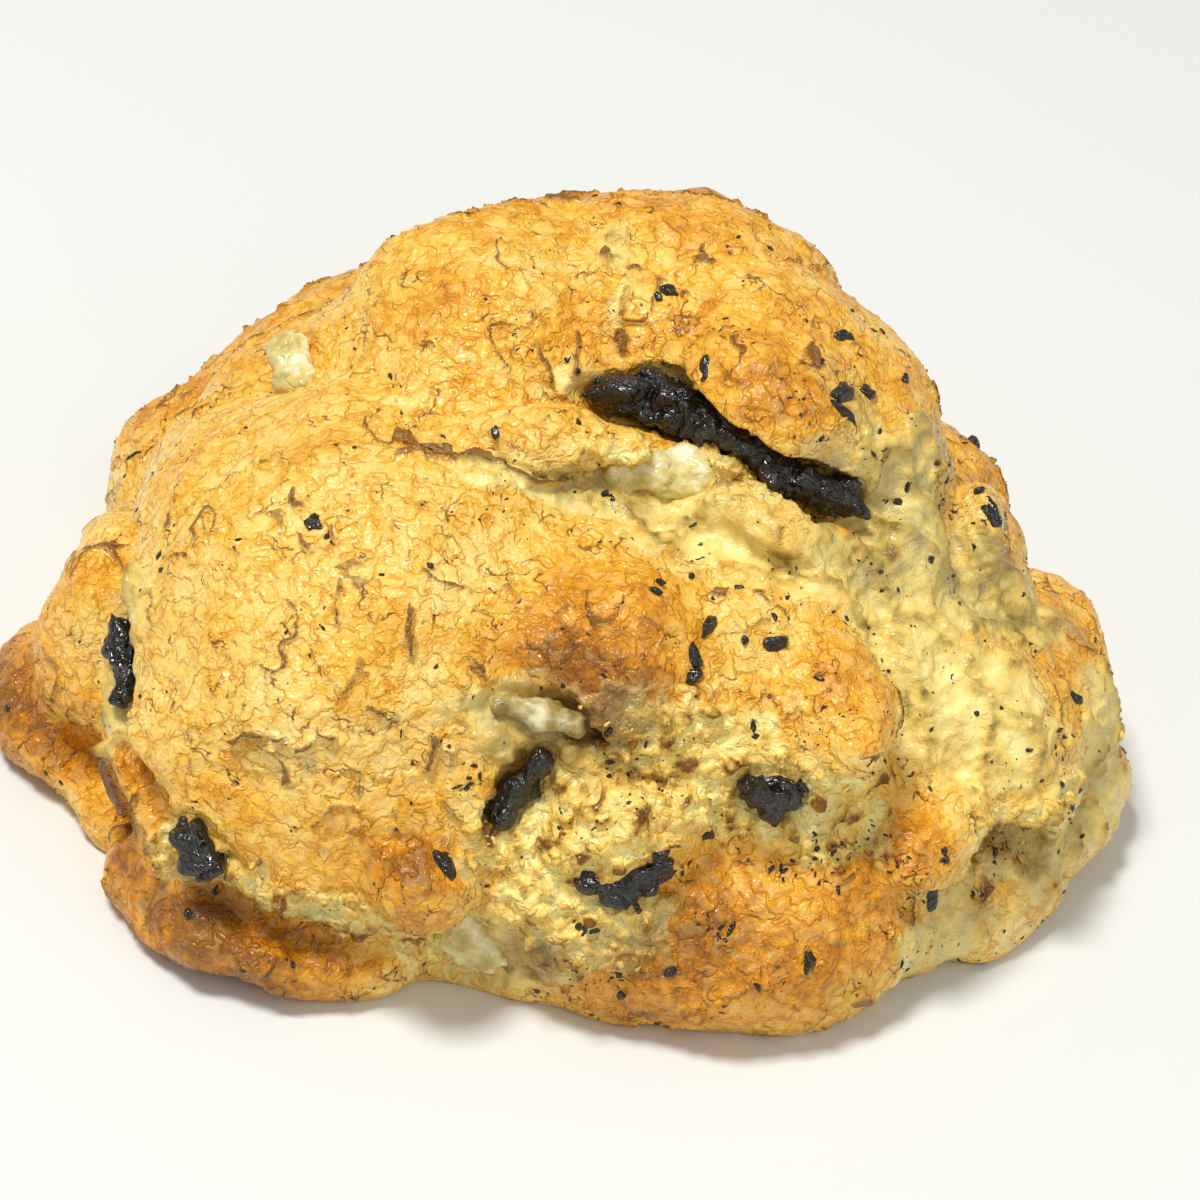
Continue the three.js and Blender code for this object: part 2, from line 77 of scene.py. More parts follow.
LOBES = [
    ("core", (0, 3, 2), (47, 40, 37), 0, 6),
    # the crown, split by a crack from back to front
    ("crown_back", (3, 16, 22), (28, 24, 28), 0, 6),
    ("crown_right", (15, 8, 28), (18, 19, 21), -15, 2),
    ("crown_left", (-10, 11, 27), (18, 21, 22), 10, 3),
    ("crown_lip", (15, 2, 42.8), (9.5, 9, 5.6), -15, 2.5),
    ("left_slope", (-23, 7, 20), (15, 20, 19), 20, 5),
    ("left_shoulder", (-32, 1, 18), (10.5, 13.5, 14.5), 10, 3),
    # the large smooth dome at the front left, and the nose that it ends in
    ("dome", (-17, -11, 16), (27, 28, 26), 0, 3),
    ("dome_low", (-22, -19, 12), (20, 20, 15), -15, 5),
    ("dome_edge", (-8, -30, 21), (6, 7, 9), -20, 2),
    ("nose", (3, -16, 24), (15, 14, 13), -20, 4),
    ("nose_tip", (3.5, -22.5, 30.5), (9, 8, 6.5), -10, 5),
    # what is left of the crust between the crown and the domes
    ("tongue", (-4.2, -7.3, 41.3), (9, 3.2, 2.8), -3, 1.2),
    ("shelf_mound", (13.5, -10, 36.5), (7, 4, 4), -27, 1.2),
    # the smaller dome at the front right and what lies under it
    ("right_dome", (17, -16, 18), (15.5, 17, 18), 10, 4),
    ("right_knob", (24, -24, 27.5), (5.5, 7, 6), 0, 3),
    ("front_low", (14, -21, 7), (24, 20, 13), 5, 5),
    ("front_mid", (3, -22, 12), (14, 15, 13), 0, 5),
    ("front_knob", (7.5, -33.5, 19.5), (6, 5.5, 5), 0, 1.5),
    ("front_edge", (20, -32, 6), (12, 9, 7), 10, 3),
    # the torn right side
    ("right_in", (32, -9, 13), (12, 14, 15), 0, 5),
    ("right_drape", (29, -5, 26), (4, 8, 10), -5, 2),
    ("right_drape_low", (22, -9, 28), (5, 6, 8), -5, 2),
    ("right_slope", (39, -12.5, 12.5), (9.5, 11.5, 13), 20, 3),
    ("right_up", (43, -1, 13), (10, 13, 10), 0, 2),
    ("right_low", (46, -6.5, 5), (8.5, 11, 7), 0, 1.5),
    ("right_foot", (37, -16, 4), (14, 12, 7), 35, 3),
    ("right_ball", (33, -26.5, 15), (5.2, 5.5, 4.8), 0, 1.5),
    ("right_frill", (40, 1, 22), (4.5, 6, 4), 0, 1),
    ("edge_knob", (36, 3, 29), (3.5, 5, 4.5), 0, 1.5),
    ("edge_low", (35, 1, 21), (6, 8, 8), 0, 2),
    # what has run out at the base on the left
    ("left_lobe", (-42.5, -8.5, 14.5), (8, 11.5, 11), 0, 1),
    ("left_foot", (-45, -7, 4), (10, 12, 7.5), 0, 1.5),
    ("left_foot_low", (-39, -18, 3), (7, 7, 5), 0, 3),
    ("front_foot", (-24, -29, 4), (17, 13.5, 8), -20, 2),
    ("front_ball", (-11, -38, 15.5), (5.2, 5, 4.8), 0, 1),
    # the back
    ("back_left", (-18, 28, 13), (22, 17, 18), 15, 4),
    ("back_right", (10, 32, 13), (22, 15, 20), -8, 4),
    ("back_end", (30, 22, 9), (15, 16, 14), 0, 4),
    ("back_foot", (-34, 19, 8), (15, 16, 13), 0, 4),
]

# ---- Gaps, folds and cracks: the line that each follows, its radius, how soft its edges are ----

GAPS = [
    (
        "wafer_gap",
        [
            (-0.8, -2.4, 43.2), (4.4, -1, 43), (8.4, -2.5, 42.6),
            (13.5, -7, 43), (18.6, -6.4, 38.9), (24.6, -5.6, 35.6),
        ],
        (1.7, 2.7, 2.7, 1.8, 2.4, 2.1),
        1,
    ),
    ("ridge_crack", [(-19, -10, 41.5), (-13, -12.5, 42.5), (-8, -12, 41.5), (-4, -13, 40.5)], 0.9, 0.8),
    ("ridge_fold", [(-4, -13, 40.5), (3, -13, 39), (12, -13, 37), (20, -16, 36)], 1.2, 1),
    ("crown_crack", [(-1, 20, 50), (-1.5, 15, 50), (0.5, 7, 49), (1, 2, 46)], 1.1, 1),
    ("nose_fold", [(-8.5, -34, 30), (-4, -32, 31), (0, -31, 30), (2, -31, 28)], 1.8, 1),
    ("nose_under", [(2, -30, 27.5), (7, -29.5, 27.5)], 1.2, 1),
    ("front_gap", [(0.1, -31.9, 27.5), (-2.8, -33.4, 23.4), (-5, -35.7, 20.3)], (1.2, 1.8, 1.5), 1),
    ("knob_crack", [(3.5, -34, 24), (1.5, -36.5, 20.5)], 0.7, 0.5),
    ("ball_crease", [(-15.5, -37.5, 18.5), (-12, -35.5, 21), (-8, -35.5, 19.5)], 0.8, 0.8),
    ("left_hollow", [(-43.5, -19, 7.5), (-38, -26, 8)], 3.2, 1.5),
    ("right_gap", [(27.5, -17, 31), (30.5, -20.5, 27), (31, -24, 22.5), (33, -27, 21)], 2, 2),
    ("right_valley", [(37, -2, 22), (41, -8, 17), (42, -12, 12)], 1.5, 1.5),
    ("left_gap", [(-43, -5, 28), (-41.5, -17, 25), (-39, -26, 20), (-35.5, -34, 16.5)], 1.8, 1.5),
    (
        "dome_under",
        [(-35.5, -34, 15.5), (-31, -38, 12), (-26.5, -39, 9), (-18, -41, 8), (-11, -40, 7)],
        2,
        1.5,
    ),
    ("ball_gap", [(33, -32.5, 12.5), (37.5, -29, 9.5)], 1.9, 1.2),
    ("torn_hole", [(39.5, -24, 13), (43.5, -21, 12.5), (45, -20, 9.5)], 2.4, 1.5),
]

# ---- Where the crust is torn open and the crumb shows: a line and how far from it ----

TORN = [
    ("shelf", [(-4, -9, 41), (12, -11, 38), (24, -14, 33), (31, -16, 26), (38, -20, 16)], 7),
    ("front", [(-1, -32, 26), (10, -33, 22), (4, -36, 17), (18, -35, 11)], 7),
    ("right_base", [(36, -27, 9), (44, -20, 10)], 8),
    ("left", [(-41, -18, 24), (-39, -26, 20)], 3.5),
    ("dome_hem", [(-22, -39, 11), (-8, -39, 9)], 4),
    ("crown", [(0, 12, 49), (0.5, 0, 45)], 3.5),
    ("back", [(-24, 38, 20), (4, 38, 27), (24, 34, 12)], 6),
]

# ---- What shows between the crust: pale stretched dough, and rough crumb. A line and how far from it ----

STRETCHED = [
    ("ledge", [(-9.6, -12.7, 41), (-2.4, -11.4, 38.7), (5, -11.5, 37.5)], 2),
    ("shelf", [(8, -12, 37), (12.3, -11.2, 36.1), (19.7, -13.5, 35.5), (27.6, -12.1, 30.8)], 4.5),
    ("slope", [(27.6, -12, 31), (33.7, -17, 26.3), (39.8, -19.8, 22.4)], 7),
    ("drapes", [(27, -2, 37), (31, -7, 33), (36, -6, 28)], 6),
    ("frill", [(38, -5.3, 26), (42, -3, 23)], 5),
    ("right_low", [(49.8, -11.7, 8.8), (45, -19, 10)], 5),
    ("right_lobes", [(50, -7, 16), (51.6, -11.3, 9)], 5),
    ("wafer_side", [(-3, -1.6, 44), (0, -1, 44)], 1.8),
    ("left_gap", [(-39.7, -19.2, 26.8), (-40, -25.8, 18)], 3),
    ("crown_split", [(-0.5, 14.5, 48.6), (0.3, 10.8, 48.3)], 1.1),
    ("nose_inside", [(-6, -31.5, 29), (0, -30, 27)], 3.5),
    ("base", [(-5, -38, 9), (-3, -38, 6)], 4),
    ("right_foot", [(38.1, -28.3, 5.7), (34, -31, 5)], 4),
    ("back", [(-24, 38, 20), (4, 38, 27)], 4),
]
CRUMBLY = [
    ("front", [(3.7, -30.4, 26.5), (12.6, -30.9, 25.9), (25.6, -29.5, 20.6)], 5.5),
    ("front_left", [(4, -34, 23), (-2, -36.7, 17), (1.8, -39, 15)], 5.5),
    ("front_base", [(-9, -38, 8), (7, -39.6, 12.7)], 4),
    ("hem", [(-33, -35.4, 12), (-25.6, -38.5, 12), (-16.5, -40, 11.5), (-9.4, -39, 9)], 2.6),
    ("torn_hole", [(39, -24, 14), (44, -20, 13), (47, -16, 11)], 5),
    ("crown", [(0, 16, 50), (0.8, 8, 49), (0.5, 3, 46)], 1),
    ("shelf_top", [(0, -9, 40), (9, -8, 39), (15, -9, 39)], 3.4),
    ("back", [(4, 38, 27), (24, 34, 12)], 5),
]

# ---- Open cracks: the line that each follows, and half its width ----

CRACKS = [
    (
        "ridge",
        [
            (-17.4, -9.6, 41.4), (-15.2, -11, 41.5), (-12.1, -12.3, 41.4),
            (-9, -11.8, 40.8), (-5.4, -12.1, 40),
        ],
        0.45,
    ),
    ("ridge_end", [(-5.4, -12.1, 40), (-1.9, -10.3, 38.6)], 0.3),
    ("dome_top", [(-14.1, -28.4, 37.3), (-14, -29.9, 36), (-13.4, -31, 34.4)], 0.28),
    (
        "dome_hook",
        [(-24.4, -21.9, 38.7), (-23.4, -23.2, 38.5), (-21.7, -22.8, 38.9), (-21.1, -20.7, 40)],
        0.26,
    ),
    ("dome_long", [(-20.5, -24.2, 38.4), (-20.2, -26.7, 37.4), (-20.1, -29.7, 36.1)], 0.2),
    (
        "dome_low",
        [(-28.4, -34.8, 25.6), (-25.5, -35.5, 27.7), (-21.8, -36.6, 27.2), (-19.3, -36.3, 29)],
        0.22,
    ),
    ("dome_side", [(-11.3, -34.1, 29.6), (-10.7, -34.7, 27.8), (-11, -35.5, 26.1)], 0.26),
    ("nose", [(-8.4, -29.6, 33.9), (-7.4, -29.9, 32.8)], 0.26),
    ("crown_left", [(-6.3, 0.4, 45.9), (-5.2, -0.8, 44.7), (-4.4, -1.8, 43.5)], 0.24),
    ("crown_low", [(-5.1, -3.1, 42.5), (-4.2, -8.6, 44.7)], 0.22),
    ("crown_front", [(-3.1, 3.1, 45.9), (-2.6, 1.2, 44.9), (-2.6, -0.7, 43.9)], 0.24),
    ("crown_pit", [(1.3, 3.9, 45), (1.9, 3.1, 44.5)], 0.7),
    ("crown_split", [(-1, 12.4, 48.3), (-0.8, 11, 48.3)], 0.4),
    ("crown_top", [(-6.8, 21.7, 47.6), (-4.4, 20.9, 48)], 0.5),
    ("left_groove", [(-39.9, -26.4, 14.4), (-38.8, -29, 11.6)], 1.1),
    ("back", [(-16, 34, 26), (-9, 37, 25), (-2, 36, 28), (4, 38, 26)], 0.35),
]

# ---- Browning, painted sheen and painted shade: middle, reach, how brown. The rest: how brown elsewhere ----

BROWN = {"all_over": 0.16, "below": 0.25, "patches": 0.17, "mottle": 0.1, "fall": 1.6}
BROWNED_SHADED_SHEEN = [
    ("nose", (3, -28.5, 32), 9, 0.76),
    # dome_top and crown_top take brown away: painted sheen on the tops, where the light falls
    ("dome_top", (-12, -20, 40), 13, -0.1),
    ("crown_top", (-14, 14, 48), 10, -0.06),
    ("nose_under", (3.5, -29.5, 29), 5, 0.24),
    ("crown_right", (14, 0, 46), 14, 0.2),
    ("crown_left", (-12, 4, 47), 12, 0.12),
    ("crown_lip", (15, -3.5, 44.5), 5, 0.3),
    ("right_knob", (25, -28, 30), 7, 0.24),
    ("right_dome", (16, -27, 30), 9, 0.06),
    ("front_low", (12, -41, 6), 14, 0.62),
    ("front_right", (28, -34, 8), 10, 0.42),
    ("dome_low", (-15, -38, 20), 9, 0.2),
    ("front_ball", (-11, -40, 16), 6, 0.6),
    ("left_lobe", (-48, -14, 16), 10, 0.22),
    ("left_foot", (-52, -12, 3), 12, 0.7),
    # left_hollow darkens a hollow: painted shade
    ("left_hollow", (-39.5, -28, 11), 5, 0.85),
    ("front_foot", (-30, -40, 2), 19, 0.72),
    ("right_ball", (32, -30, 17), 6, 0.26),
    # torn_hole and dark_base darken deep pits: painted shade
    ("torn_hole", (42.3, -20, 11.8), 4, 0.95),
    ("dark_base", (-1, -39.2, 7.5), 4, 0.95),
    ("right_up", (46, -6, 19), 8, 0.2),
    ("crown_back", (5, 32, 42), 22, 0.28),
    ("back_base", (0, 48, 6), 30, 0.34),
    ("back_left", (-34, 30, 14), 18, 0.3),
    ("back_right", (42, 26, 10), 18, 0.3),
]

# ---- Wafer-dust stains and painted shade on the dough: a line, how far from it, and how strongly ----

STAINED_AND_SHADED = [
    # the drapes are darkened mostly as painted shade on their steep side, away from the light
    ("drapes", [(30, -3, 36), (37, -5, 28)], 7, 0.6),
    ("wafer_end", [(22, -8, 37), (28, -8, 34)], 4.5, 0.6),
    ("crown_side", [(21.5, -1, 46), (24, 0, 43)], 3, 0.55),
    ("right_edge", [(40, 1, 24), (50, -6, 14)], 5, 0.4),
    ("right_low", [(50, -11, 8), (36, -28, 7)], 5, 0.4),
    ("left_gap", [(-40, -17, 25), (-39.5, -25, 20)], 3, 0.5),
    ("nose_inside", [(-5, -31.5, 28), (0, -31, 27)], 3.5, 0.5),
    ("ledge", [(-3, -11.5, 39), (4, -11, 38)], 2.5, 0.45),
    ("front", [(17, -31.5, 24), (24, -31, 22)], 3, 0.22),
    ("hem", [(-24, -38.5, 12), (-12, -40, 9)], 2.5, 0.4),
    ("back", [(-10, 38, 24), (14, 38, 22)], 5, 0.4),
]

# ---- Pieces set in the dough: the line down the middle of each, and its radius, or one for each point ----

WAFERS = [
    (
        "wafer_long",
        [
            (1.2, -1.5, 42.7), (4.4, -0.7, 42.6), (8.4, -1.9, 41.9),
            (13.5, -6.4, 42.4), (18.5, -6.2, 38.7), (23.6, -5.7, 36.7),
        ],
        (1.8, 2.4, 2.2, 1.2, 2, 1.4),
    ),
    ("wafer_left", [(-41.1, -19.3, 23.6), (-39.9, -22.5, 21.6), (-39.2, -24.7, 20.5)], (0.9, 1.5, 0.8)),
    ("wafer_foot", [(-31.4, -37.4, 15.8), (-29.8, -38.4, 14.3)], 1.5),
    ("wafer_gap", [(-1.2, -32.3, 24.9), (-3, -33.1, 22.6), (-4.8, -34.8, 20)], (1, 1.3, 1)),
    ("wafer_crescent", [(3.9, -37.9, 17.2), (7.7, -38.2, 16.3), (10.3, -36.8, 18.3)], (1, 1.1, 1.5)),
    ("wafer_right", [(17.8, -31.9, 23.9), (19.8, -31.4, 23.4)], 1.6),
]
CREAMS = [
    ("cream_left", [(-29.4, 6.8, 36.4), (-28.1, 4.1, 36.2)], 2.1),
    ("cream_shelf", [(2.8, -7.9, 39.1), (9.2, -6.4, 38.3)], (1.9, 2.3)),
    ("cream_fold", [(-5.4, -30.8, 29.7), (-1.9, -30.6, 29), (1.3, -30.5, 28.5)], (1, 1.5, 1.1)),
    ("cream_base", [(-6.7, -36.7, 8.3), (-4.6, -36.8, 5.2)], 2.2),
]
SHADED_CREAMS = ("cream_fold",)  # the ones painted darker as shade, where they lie under the nose
WAFER_BREAKS = 1.0  # how deeply the wafers are broken
CREAM_BREAKS = 0.45  # and the creams

# ---- Small wafer chips in the crust: roughly where, and their radius ----

CHIPS = [
    # crown
    ((9.1, -2.3, 47.3), 1.3), ((5.6, 8.1, 48.3), 1), ((21.7, 6.6, 46.5), 1.4), ((22, -1.7, 46), 1.6),
    ((22.2, -3.8, 45.1), 1.3), ((24.5, 1.4, 44.2), 1), ((27.9, 5.9, 43.1), 1), ((37.8, 0.1, 32.9), 1.3),
    ((29.5, -1.8, 37), 1.2),
    # the right dome and the front below it
    ((11.8, -23.2, 35), 1.1), ((10.9, -26.1, 33.9), 1.1), ((11.3, -27.6, 32.8), 1),
    ((18.1, -22.5, 33.4), 1.2), ((14, -33.1, 19.2), 1.3), ((4.2, -31.2, 29), 1.2), ((4.1, -39.9, 12.5), 1.6),
    ((24, -38, 10), 1),
    # right and left
    ((47.5, -10, 20.2), 1.1), ((34.8, -27.5, 9.5), 1.7), ((45.5, -18, 11.5), 1.3), ((-8.4, -40.4, 19.1), 1.3),
    ((-30.7, -39.1, 8.2), 1.1), ((-23.2, -20.5, 39.5), 1),
    # back
    ((-24, 24, 34), 1.7), ((-6, 40, 26), 1.5), ((12, 44, 22), 1.8), ((22, 34, 28), 1.4), ((36, 28, 16), 1.6),
    ((-34, 30, 16), 1.5), ((-44, 16, 14), 1.7), ((48, 6, 10), 1.5),
]
# ---- Smaller wafer bits on the dough: roughly where, and their radius ----

SPOTS = [
    # shelf, drapes and right side
    ((18.7, -14.3, 36.2), 0.8), ((26.8, -10, 33.2), 0.6), ((27.4, -11.2, 31.6), 0.7),
    ((32.3, -11.2, 29.6), 0.5), ((37.1, -3.2, 28.2), 0.7), ((36.2, 2.3, 33.6), 0.6),
    ((36.5, -1.1, 32.5), 0.7), ((36.2, -2.5, 30.7), 0.6), ((22.2, -11, 36.8), 0.6), ((32, -7.6, 32.7), 0.6),
    # domes, ledge and crown
    ((-12.8, -24, 38.8), 0.6), ((-22, -22, 39.3), 0.5), ((7.3, -21.1, 37.5), 0.6), ((10, -17.5, 35.8), 0.6),
    ((14.4, -17.8, 35.4), 0.6), ((-1.3, -11, 38.4), 0.6), ((2.3, -11.1, 38.2), 0.8), ((1.7, -10.6, 39), 0.6),
    ((-8.7, -9.6, 43.1), 0.7), ((-20.9, 14.7, 46), 0.6), ((-0.4, 19.9, 49), 0.6), ((4.3, 7.3, 48), 0.6),
    # the right dome's front and the torn front
    ((17.2, -29.4, 27.9), 0.8), ((16.6, -28.7, 28.9), 0.7), ((21.6, -31.8, 23.5), 0.6),
    ((25.3, -31.3, 16.7), 0.7), ((15.3, -23.3, 33.8), 0.5), ((24, -31.1, 25.5), 0.6),
    ((6.9, -22.6, 37.8), 0.6), ((-2.3, -36, 17.6), 0.6), ((17, -37, 12), 0.7), ((12, -40, 9), 0.6),
    ((20, -38, 8), 0.6), ((8, -41, 6), 0.7), ((26, -33, 14), 0.6),
]

# ---- How each kind of small bit is shaped. The last two are its mesh's fineness and its seed ----

CHIP_SHAPE = {"flatness": 0.75, "roughness": 0.2, "sink": 0.35, "detail": 4, "seed": 301}
SPOT_SHAPE = {"flatness": 0.6, "roughness": 0.25, "sink": 0.1, "detail": 3, "seed": 304}
SPECK_SHAPE = {"flatness": 0.4, "roughness": 0.25, "sink": 0.15, "detail": 2, "seed": 302}
LOOSE_SHAPE = {"flatness": 0.6, "roughness": 0.3, "sink": 0.25, "detail": 2, "seed": 303}

# ---- Scattered bits: how many, their smallest radius, what the largest adds to it, and how rare that is ----

SPECKS = (1300, 0.1, 0.38, 4)
LOOSE_CRUMBS = (260, 0.16, 0.42, 3)


# ---- Noise ----


def hashed(cells, seed):
    """Three even random values from 0 to 1 for each whole-number cell, by mixing its bits."""
    x, y, z = (cells[..., axis].astype(np.uint32) for axis in range(3))
    mixed = x * np.uint32(73856093) ^ y * np.uint32(19349663) ^ z * np.uint32(83492791)
    mixed = mixed ^ np.uint32((seed * 2654435761) & 0xFFFFFFFF)
    for shift, factor in ((16, 0x7FEB352D), (15, 0x846CA68B)):
        mixed = (mixed ^ (mixed >> np.uint32(shift))) * np.uint32(factor)
    mixed = mixed ^ (mixed >> np.uint32(16))
    ten_bits = 1023
    values = [(mixed >> np.uint32(shift)) & np.uint32(ten_bits) for shift in (0, 10, 20)]
    return np.stack(values, -1) / np.float32(ten_bits)


def smooth_noise(points, wave, seed):
    """Noise of about -1 to 1 whose swells are about wave apart."""
    place = points / np.float32(wave)
    cell = np.floor(place).astype(np.int32)
    within = (place - cell).astype(np.float32)
    ease = within ** 3 * (within * (within * 6 - 15) + 10)
    total = 0
    for corner in itertools.product((0, 1), repeat=3):
        corner = np.array(corner, np.int32)
        weight = np.prod(np.where(corner, ease, 1 - ease), axis=-1)
        total = total + weight * np.sum((2 * hashed(cell + corner, seed) - 1) * (within - corner), axis=-1)
    spread = 1.7  # brings the swells to about 1
    return spread * total


def nearest_dot(points, wave, seed):
    """Distance, in units of wave, to the nearest of dots scattered one to each cube."""
    place = points / np.float32(wave)
    cell = np.floor(place).astype(np.int32)
    within = (place - cell).astype(np.float32)
    nearest = np.full(len(points), 9, np.float32)
    for offset in itertools.product((-1, 0, 1), repeat=3):
        offset = np.array(offset, np.int32)
        away = np.linalg.norm(offset + hashed(cell + offset, seed) - within, axis=-1).astype(np.float32)
        nearest = np.minimum(nearest, away)
    return nearest


def warped(points, wave, reach, seed):
    """The points, each pushed up to about reach by noise."""
    push = np.stack([smooth_noise(points, wave, seed + axis) for axis in range(3)], -1)
    return points + np.float32(reach) * push


def ramp(value, low, high):
    """0 below low, 1 above high, and smooth between."""
    share = np.clip((value - low) / (high - low), 0, 1)
    return share * share * (3 - 2 * share)


# ---- Distance fields, as in the solids ----


def soft_min(a, b, soft):
    corner = np.maximum(soft - np.abs(a - b), 0) / soft
    return np.minimum(a, b) - corner * corner * soft * 0.25


def lobe_distance(points, at, half, turn):
    angle = math.radians(turn)
    x, y, z = (points[:, axis] - np.float32(at[axis]) for axis in range(3))
    u = (math.cos(angle) * x + math.sin(angle) * y) / half[0]
    v = (math.cos(angle) * y - math.sin(angle) * x) / half[1]
    w = z / half[2]
    reach = np.sqrt(u * u + v * v + w * w)
    slope = np.sqrt((u / half[0]) ** 2 + (v / half[1]) ** 2 + (w / half[2]) ** 2) + 1e-9
    return reach * (reach - 1) / slope


def line_distance(points, line, radius=0):
    """Distance to a bar round a line of straight stretches, of one radius or one for each of its points."""
    radii = np.broadcast_to(np.float32(radius), len(line))
    nearest = None
    for index, (start, end) in enumerate(zip(line[:-1], line[1:])):
        start = np.array(start, np.float32)
        along = np.array(end, np.float32) - start
        away = points - start
        share = np.clip(away @ along / (along @ along), 0, 1)
        bar = radii[index] + share * (radii[index + 1] - radii[index])
        distance = np.linalg.norm(away - share[:, None] * along, axis=1) - bar
        nearest = distance if nearest is None else np.minimum(nearest, distance)
    return nearest


def unevenness(points, wave, seed):
    """A sum of plane waves about wave apart, whose directions and paces golden steps spread out."""
    count = 7
    golden_angle = 2.39996
    total = 0
    for i in range(count):
        up = 1 - 2 * (i + 0.5) / count
        across = math.sqrt(1 - up * up)
        angle = golden_angle * i + seed * 1.37
        pace = 2 * math.pi / wave * (0.7 + 0.6 * ((i * 0.618 + seed * 0.37) % 1))
        way = np.array([across * math.cos(angle), across * math.sin(angle), up], np.float32) * pace
        total = total + np.sin(points @ way + (2.1 * i * i + seed * 2.3))
    return total / math.sqrt(count)


def torn_share(points):
    """From 1 in the middle of a torn place to 0 on whole crust."""
    most = np.zeros(len(points), np.float32)
    for _, line, radius in TORN:
        most = np.maximum(most, ramp(1.5 - line_distance(points, line) / radius, 0, 1))
    return most


def dough_distance(points):
    points = points.astype(np.float32)
    swell = [
        unevenness(points, wave=21, seed=1),
        unevenness(points, wave=23, seed=2),
        unevenness(points, wave=19, seed=3),
    ]
    depths = np.array([BUMP["swell"], BUMP["swell"], BUMP["rise"]], np.float32)
    swollen = points + np.stack(swell, -1) * depths
    distance = None
    for _, at, half, turn, blend in LOBES:
        lobe = lobe_distance(swollen, at, half, turn)
        distance = lobe if distance is None else soft_min(distance, lobe, blend)
    distance = distance + BUMP["grain"] * unevenness(points, wave=8.5, seed=4)
    distance = distance + BUMP["crumb"] * torn_share(points) * unevenness(points, wave=7.5, seed=5)
    for _, line, radius, soft in GAPS:
        distance = -soft_min(-distance, line_distance(points, line, radius), soft)
    return np.maximum(distance, -points[:, 2])


# ---- From a field to a mesh ----


def in_parts(field, points, size=150000):
    """A field's values, read a part at a time to spare memory."""
    return np.concatenate([field(points[i : i + size]) for i in range(0, len(points), size)])


def read_surface(field, low, high, cell):
    """Points and quads of the surface where field is 0. Only blocks of cells near it are read finely."""
    block = 4
    beyond = 3 * cell  # the value kept for all that is far from the surface
    bend = 0.6  # how far a field may be off as a distance
    low = np.array(low, np.float32)
    count = np.ceil((np.array(high) - low) / (cell * block)).astype(int) + 1
    corners = np.indices(count).reshape(3, -1).T
    middles = low + (corners * block + (block - 1) / 2) * np.float32(cell)
    coarse = in_parts(field, middles)
    near = np.abs(coarse) < 1.5 * block * cell + bend
    offsets = np.indices((block,) * 3).reshape(3, -1).T
    fine_points = low + (corners[near][:, None] * block + offsets[None]) * np.float32(cell)
    values = np.repeat(np.sign(coarse)[:, None], block**3, axis=1).astype(np.float32) * 3 * cell
    values[near] = in_parts(field, fine_points.reshape(-1, 3)).reshape(-1, block**3)
    values = values.reshape(*count, block, block, block).transpose(0, 3, 1, 4, 2, 5).reshape(*(count * block))
    grid = openvdb.FloatGrid(background=beyond)
    grid.copyFromArray(np.ascontiguousarray(np.clip(values, -beyond, beyond)))
    points, _, quads = grid.convertToPolygons(isovalue=0, adaptivity=0)
    return low + points * np.float32(cell), quads[:, ::-1]


def vertex_normals(points, quads):
    a, b, c, d = (points[quads[:, corner]] for corner in range(4))
    faces = np.cross(c - a, d - b)
    normals = np.zeros_like(points)
    for corner in range(4):
        for axis in range(3):
            normals[:, axis] += np.bincount(quads[:, corner], faces[:, axis], len(points))
    return normals / (np.linalg.norm(normals, axis=1, keepdims=True) + 1e-12)


def make_mesh(name, points, faces, values=None):
    """An object of points and faces that all have as many corners, with values kept on its points."""
    sides = faces.shape[1]
    mesh = bpy.data.meshes.new(name)
    mesh.vertices.add(len(points))
    mesh.vertices.foreach_set("co", ((points - MIDDLE) * MM).astype(np.float32).ravel())
    mesh.loops.add(faces.size)
    mesh.loops.foreach_set("vertex_index", np.ascontiguousarray(faces, np.int32).ravel())
    mesh.polygons.add(len(faces))
    mesh.polygons.foreach_set("loop_start", np.arange(len(faces), dtype=np.int32) * sides)
    mesh.update(calc_edges=True)
    mesh.validate()
    mesh.shade_smooth()
    for key, value in (values or {}).items():
        mesh.attributes.new(key, "FLOAT", "POINT").data.foreach_set("value", value.astype(np.float32))
    made = bpy.data.objects.new(name, mesh)
    bpy.context.scene.collection.objects.link(made)
    return made


# ---- Dough: the field's surface with the crust's and the crumb's relief ----


def browning_shade_sheen(points, normals):
    """How brown the crust is, from 0 to 1, with painted sheen on some tops and painted shade in some hollows.
    """
    brown_shade_sheen = BROWN["all_over"]
    for _, at, reach, strength in BROWNED_SHADED_SHEEN:
        away = np.linalg.norm(points - np.array(at, np.float32), axis=1)
        brown_shade_sheen = brown_shade_sheen + strength * np.exp(-((away / reach) ** 2) * BROWN["fall"])
    below = ramp(-normals[:, 2], 0.1, 0.8)
    patches = smooth_noise(points, wave=9, seed=31)
    mottle = smooth_noise(points, wave=2.6, seed=32)
    brown_shade_sheen = brown_shade_sheen + BROWN["below"] * below + BROWN["patches"] * patches + BROWN["mottle"] * mottle
    return np.clip(brown_shade_sheen, 0, 1)


def creased(points, wave, seed, middle):
    """Puffed flakes with sharp valleys between them: 0 in the valleys, to about 1, all less middle."""
    return np.minimum(np.abs(smooth_noise(points, wave, seed)) * 1.9, 1) ** 0.7 - middle


def crinkling(points, normals):
    """How crinkled the crust is: little on top, where it stayed smooth, and strongly on the steep sides."""
    steep = ramp(1 - normals[:, 2], 0.06, 0.42)
    return np.clip(0.34 + 0.66 * steep + 0.3 * smooth_noise(points, wave=11, seed=33), 0.2, 1.15)


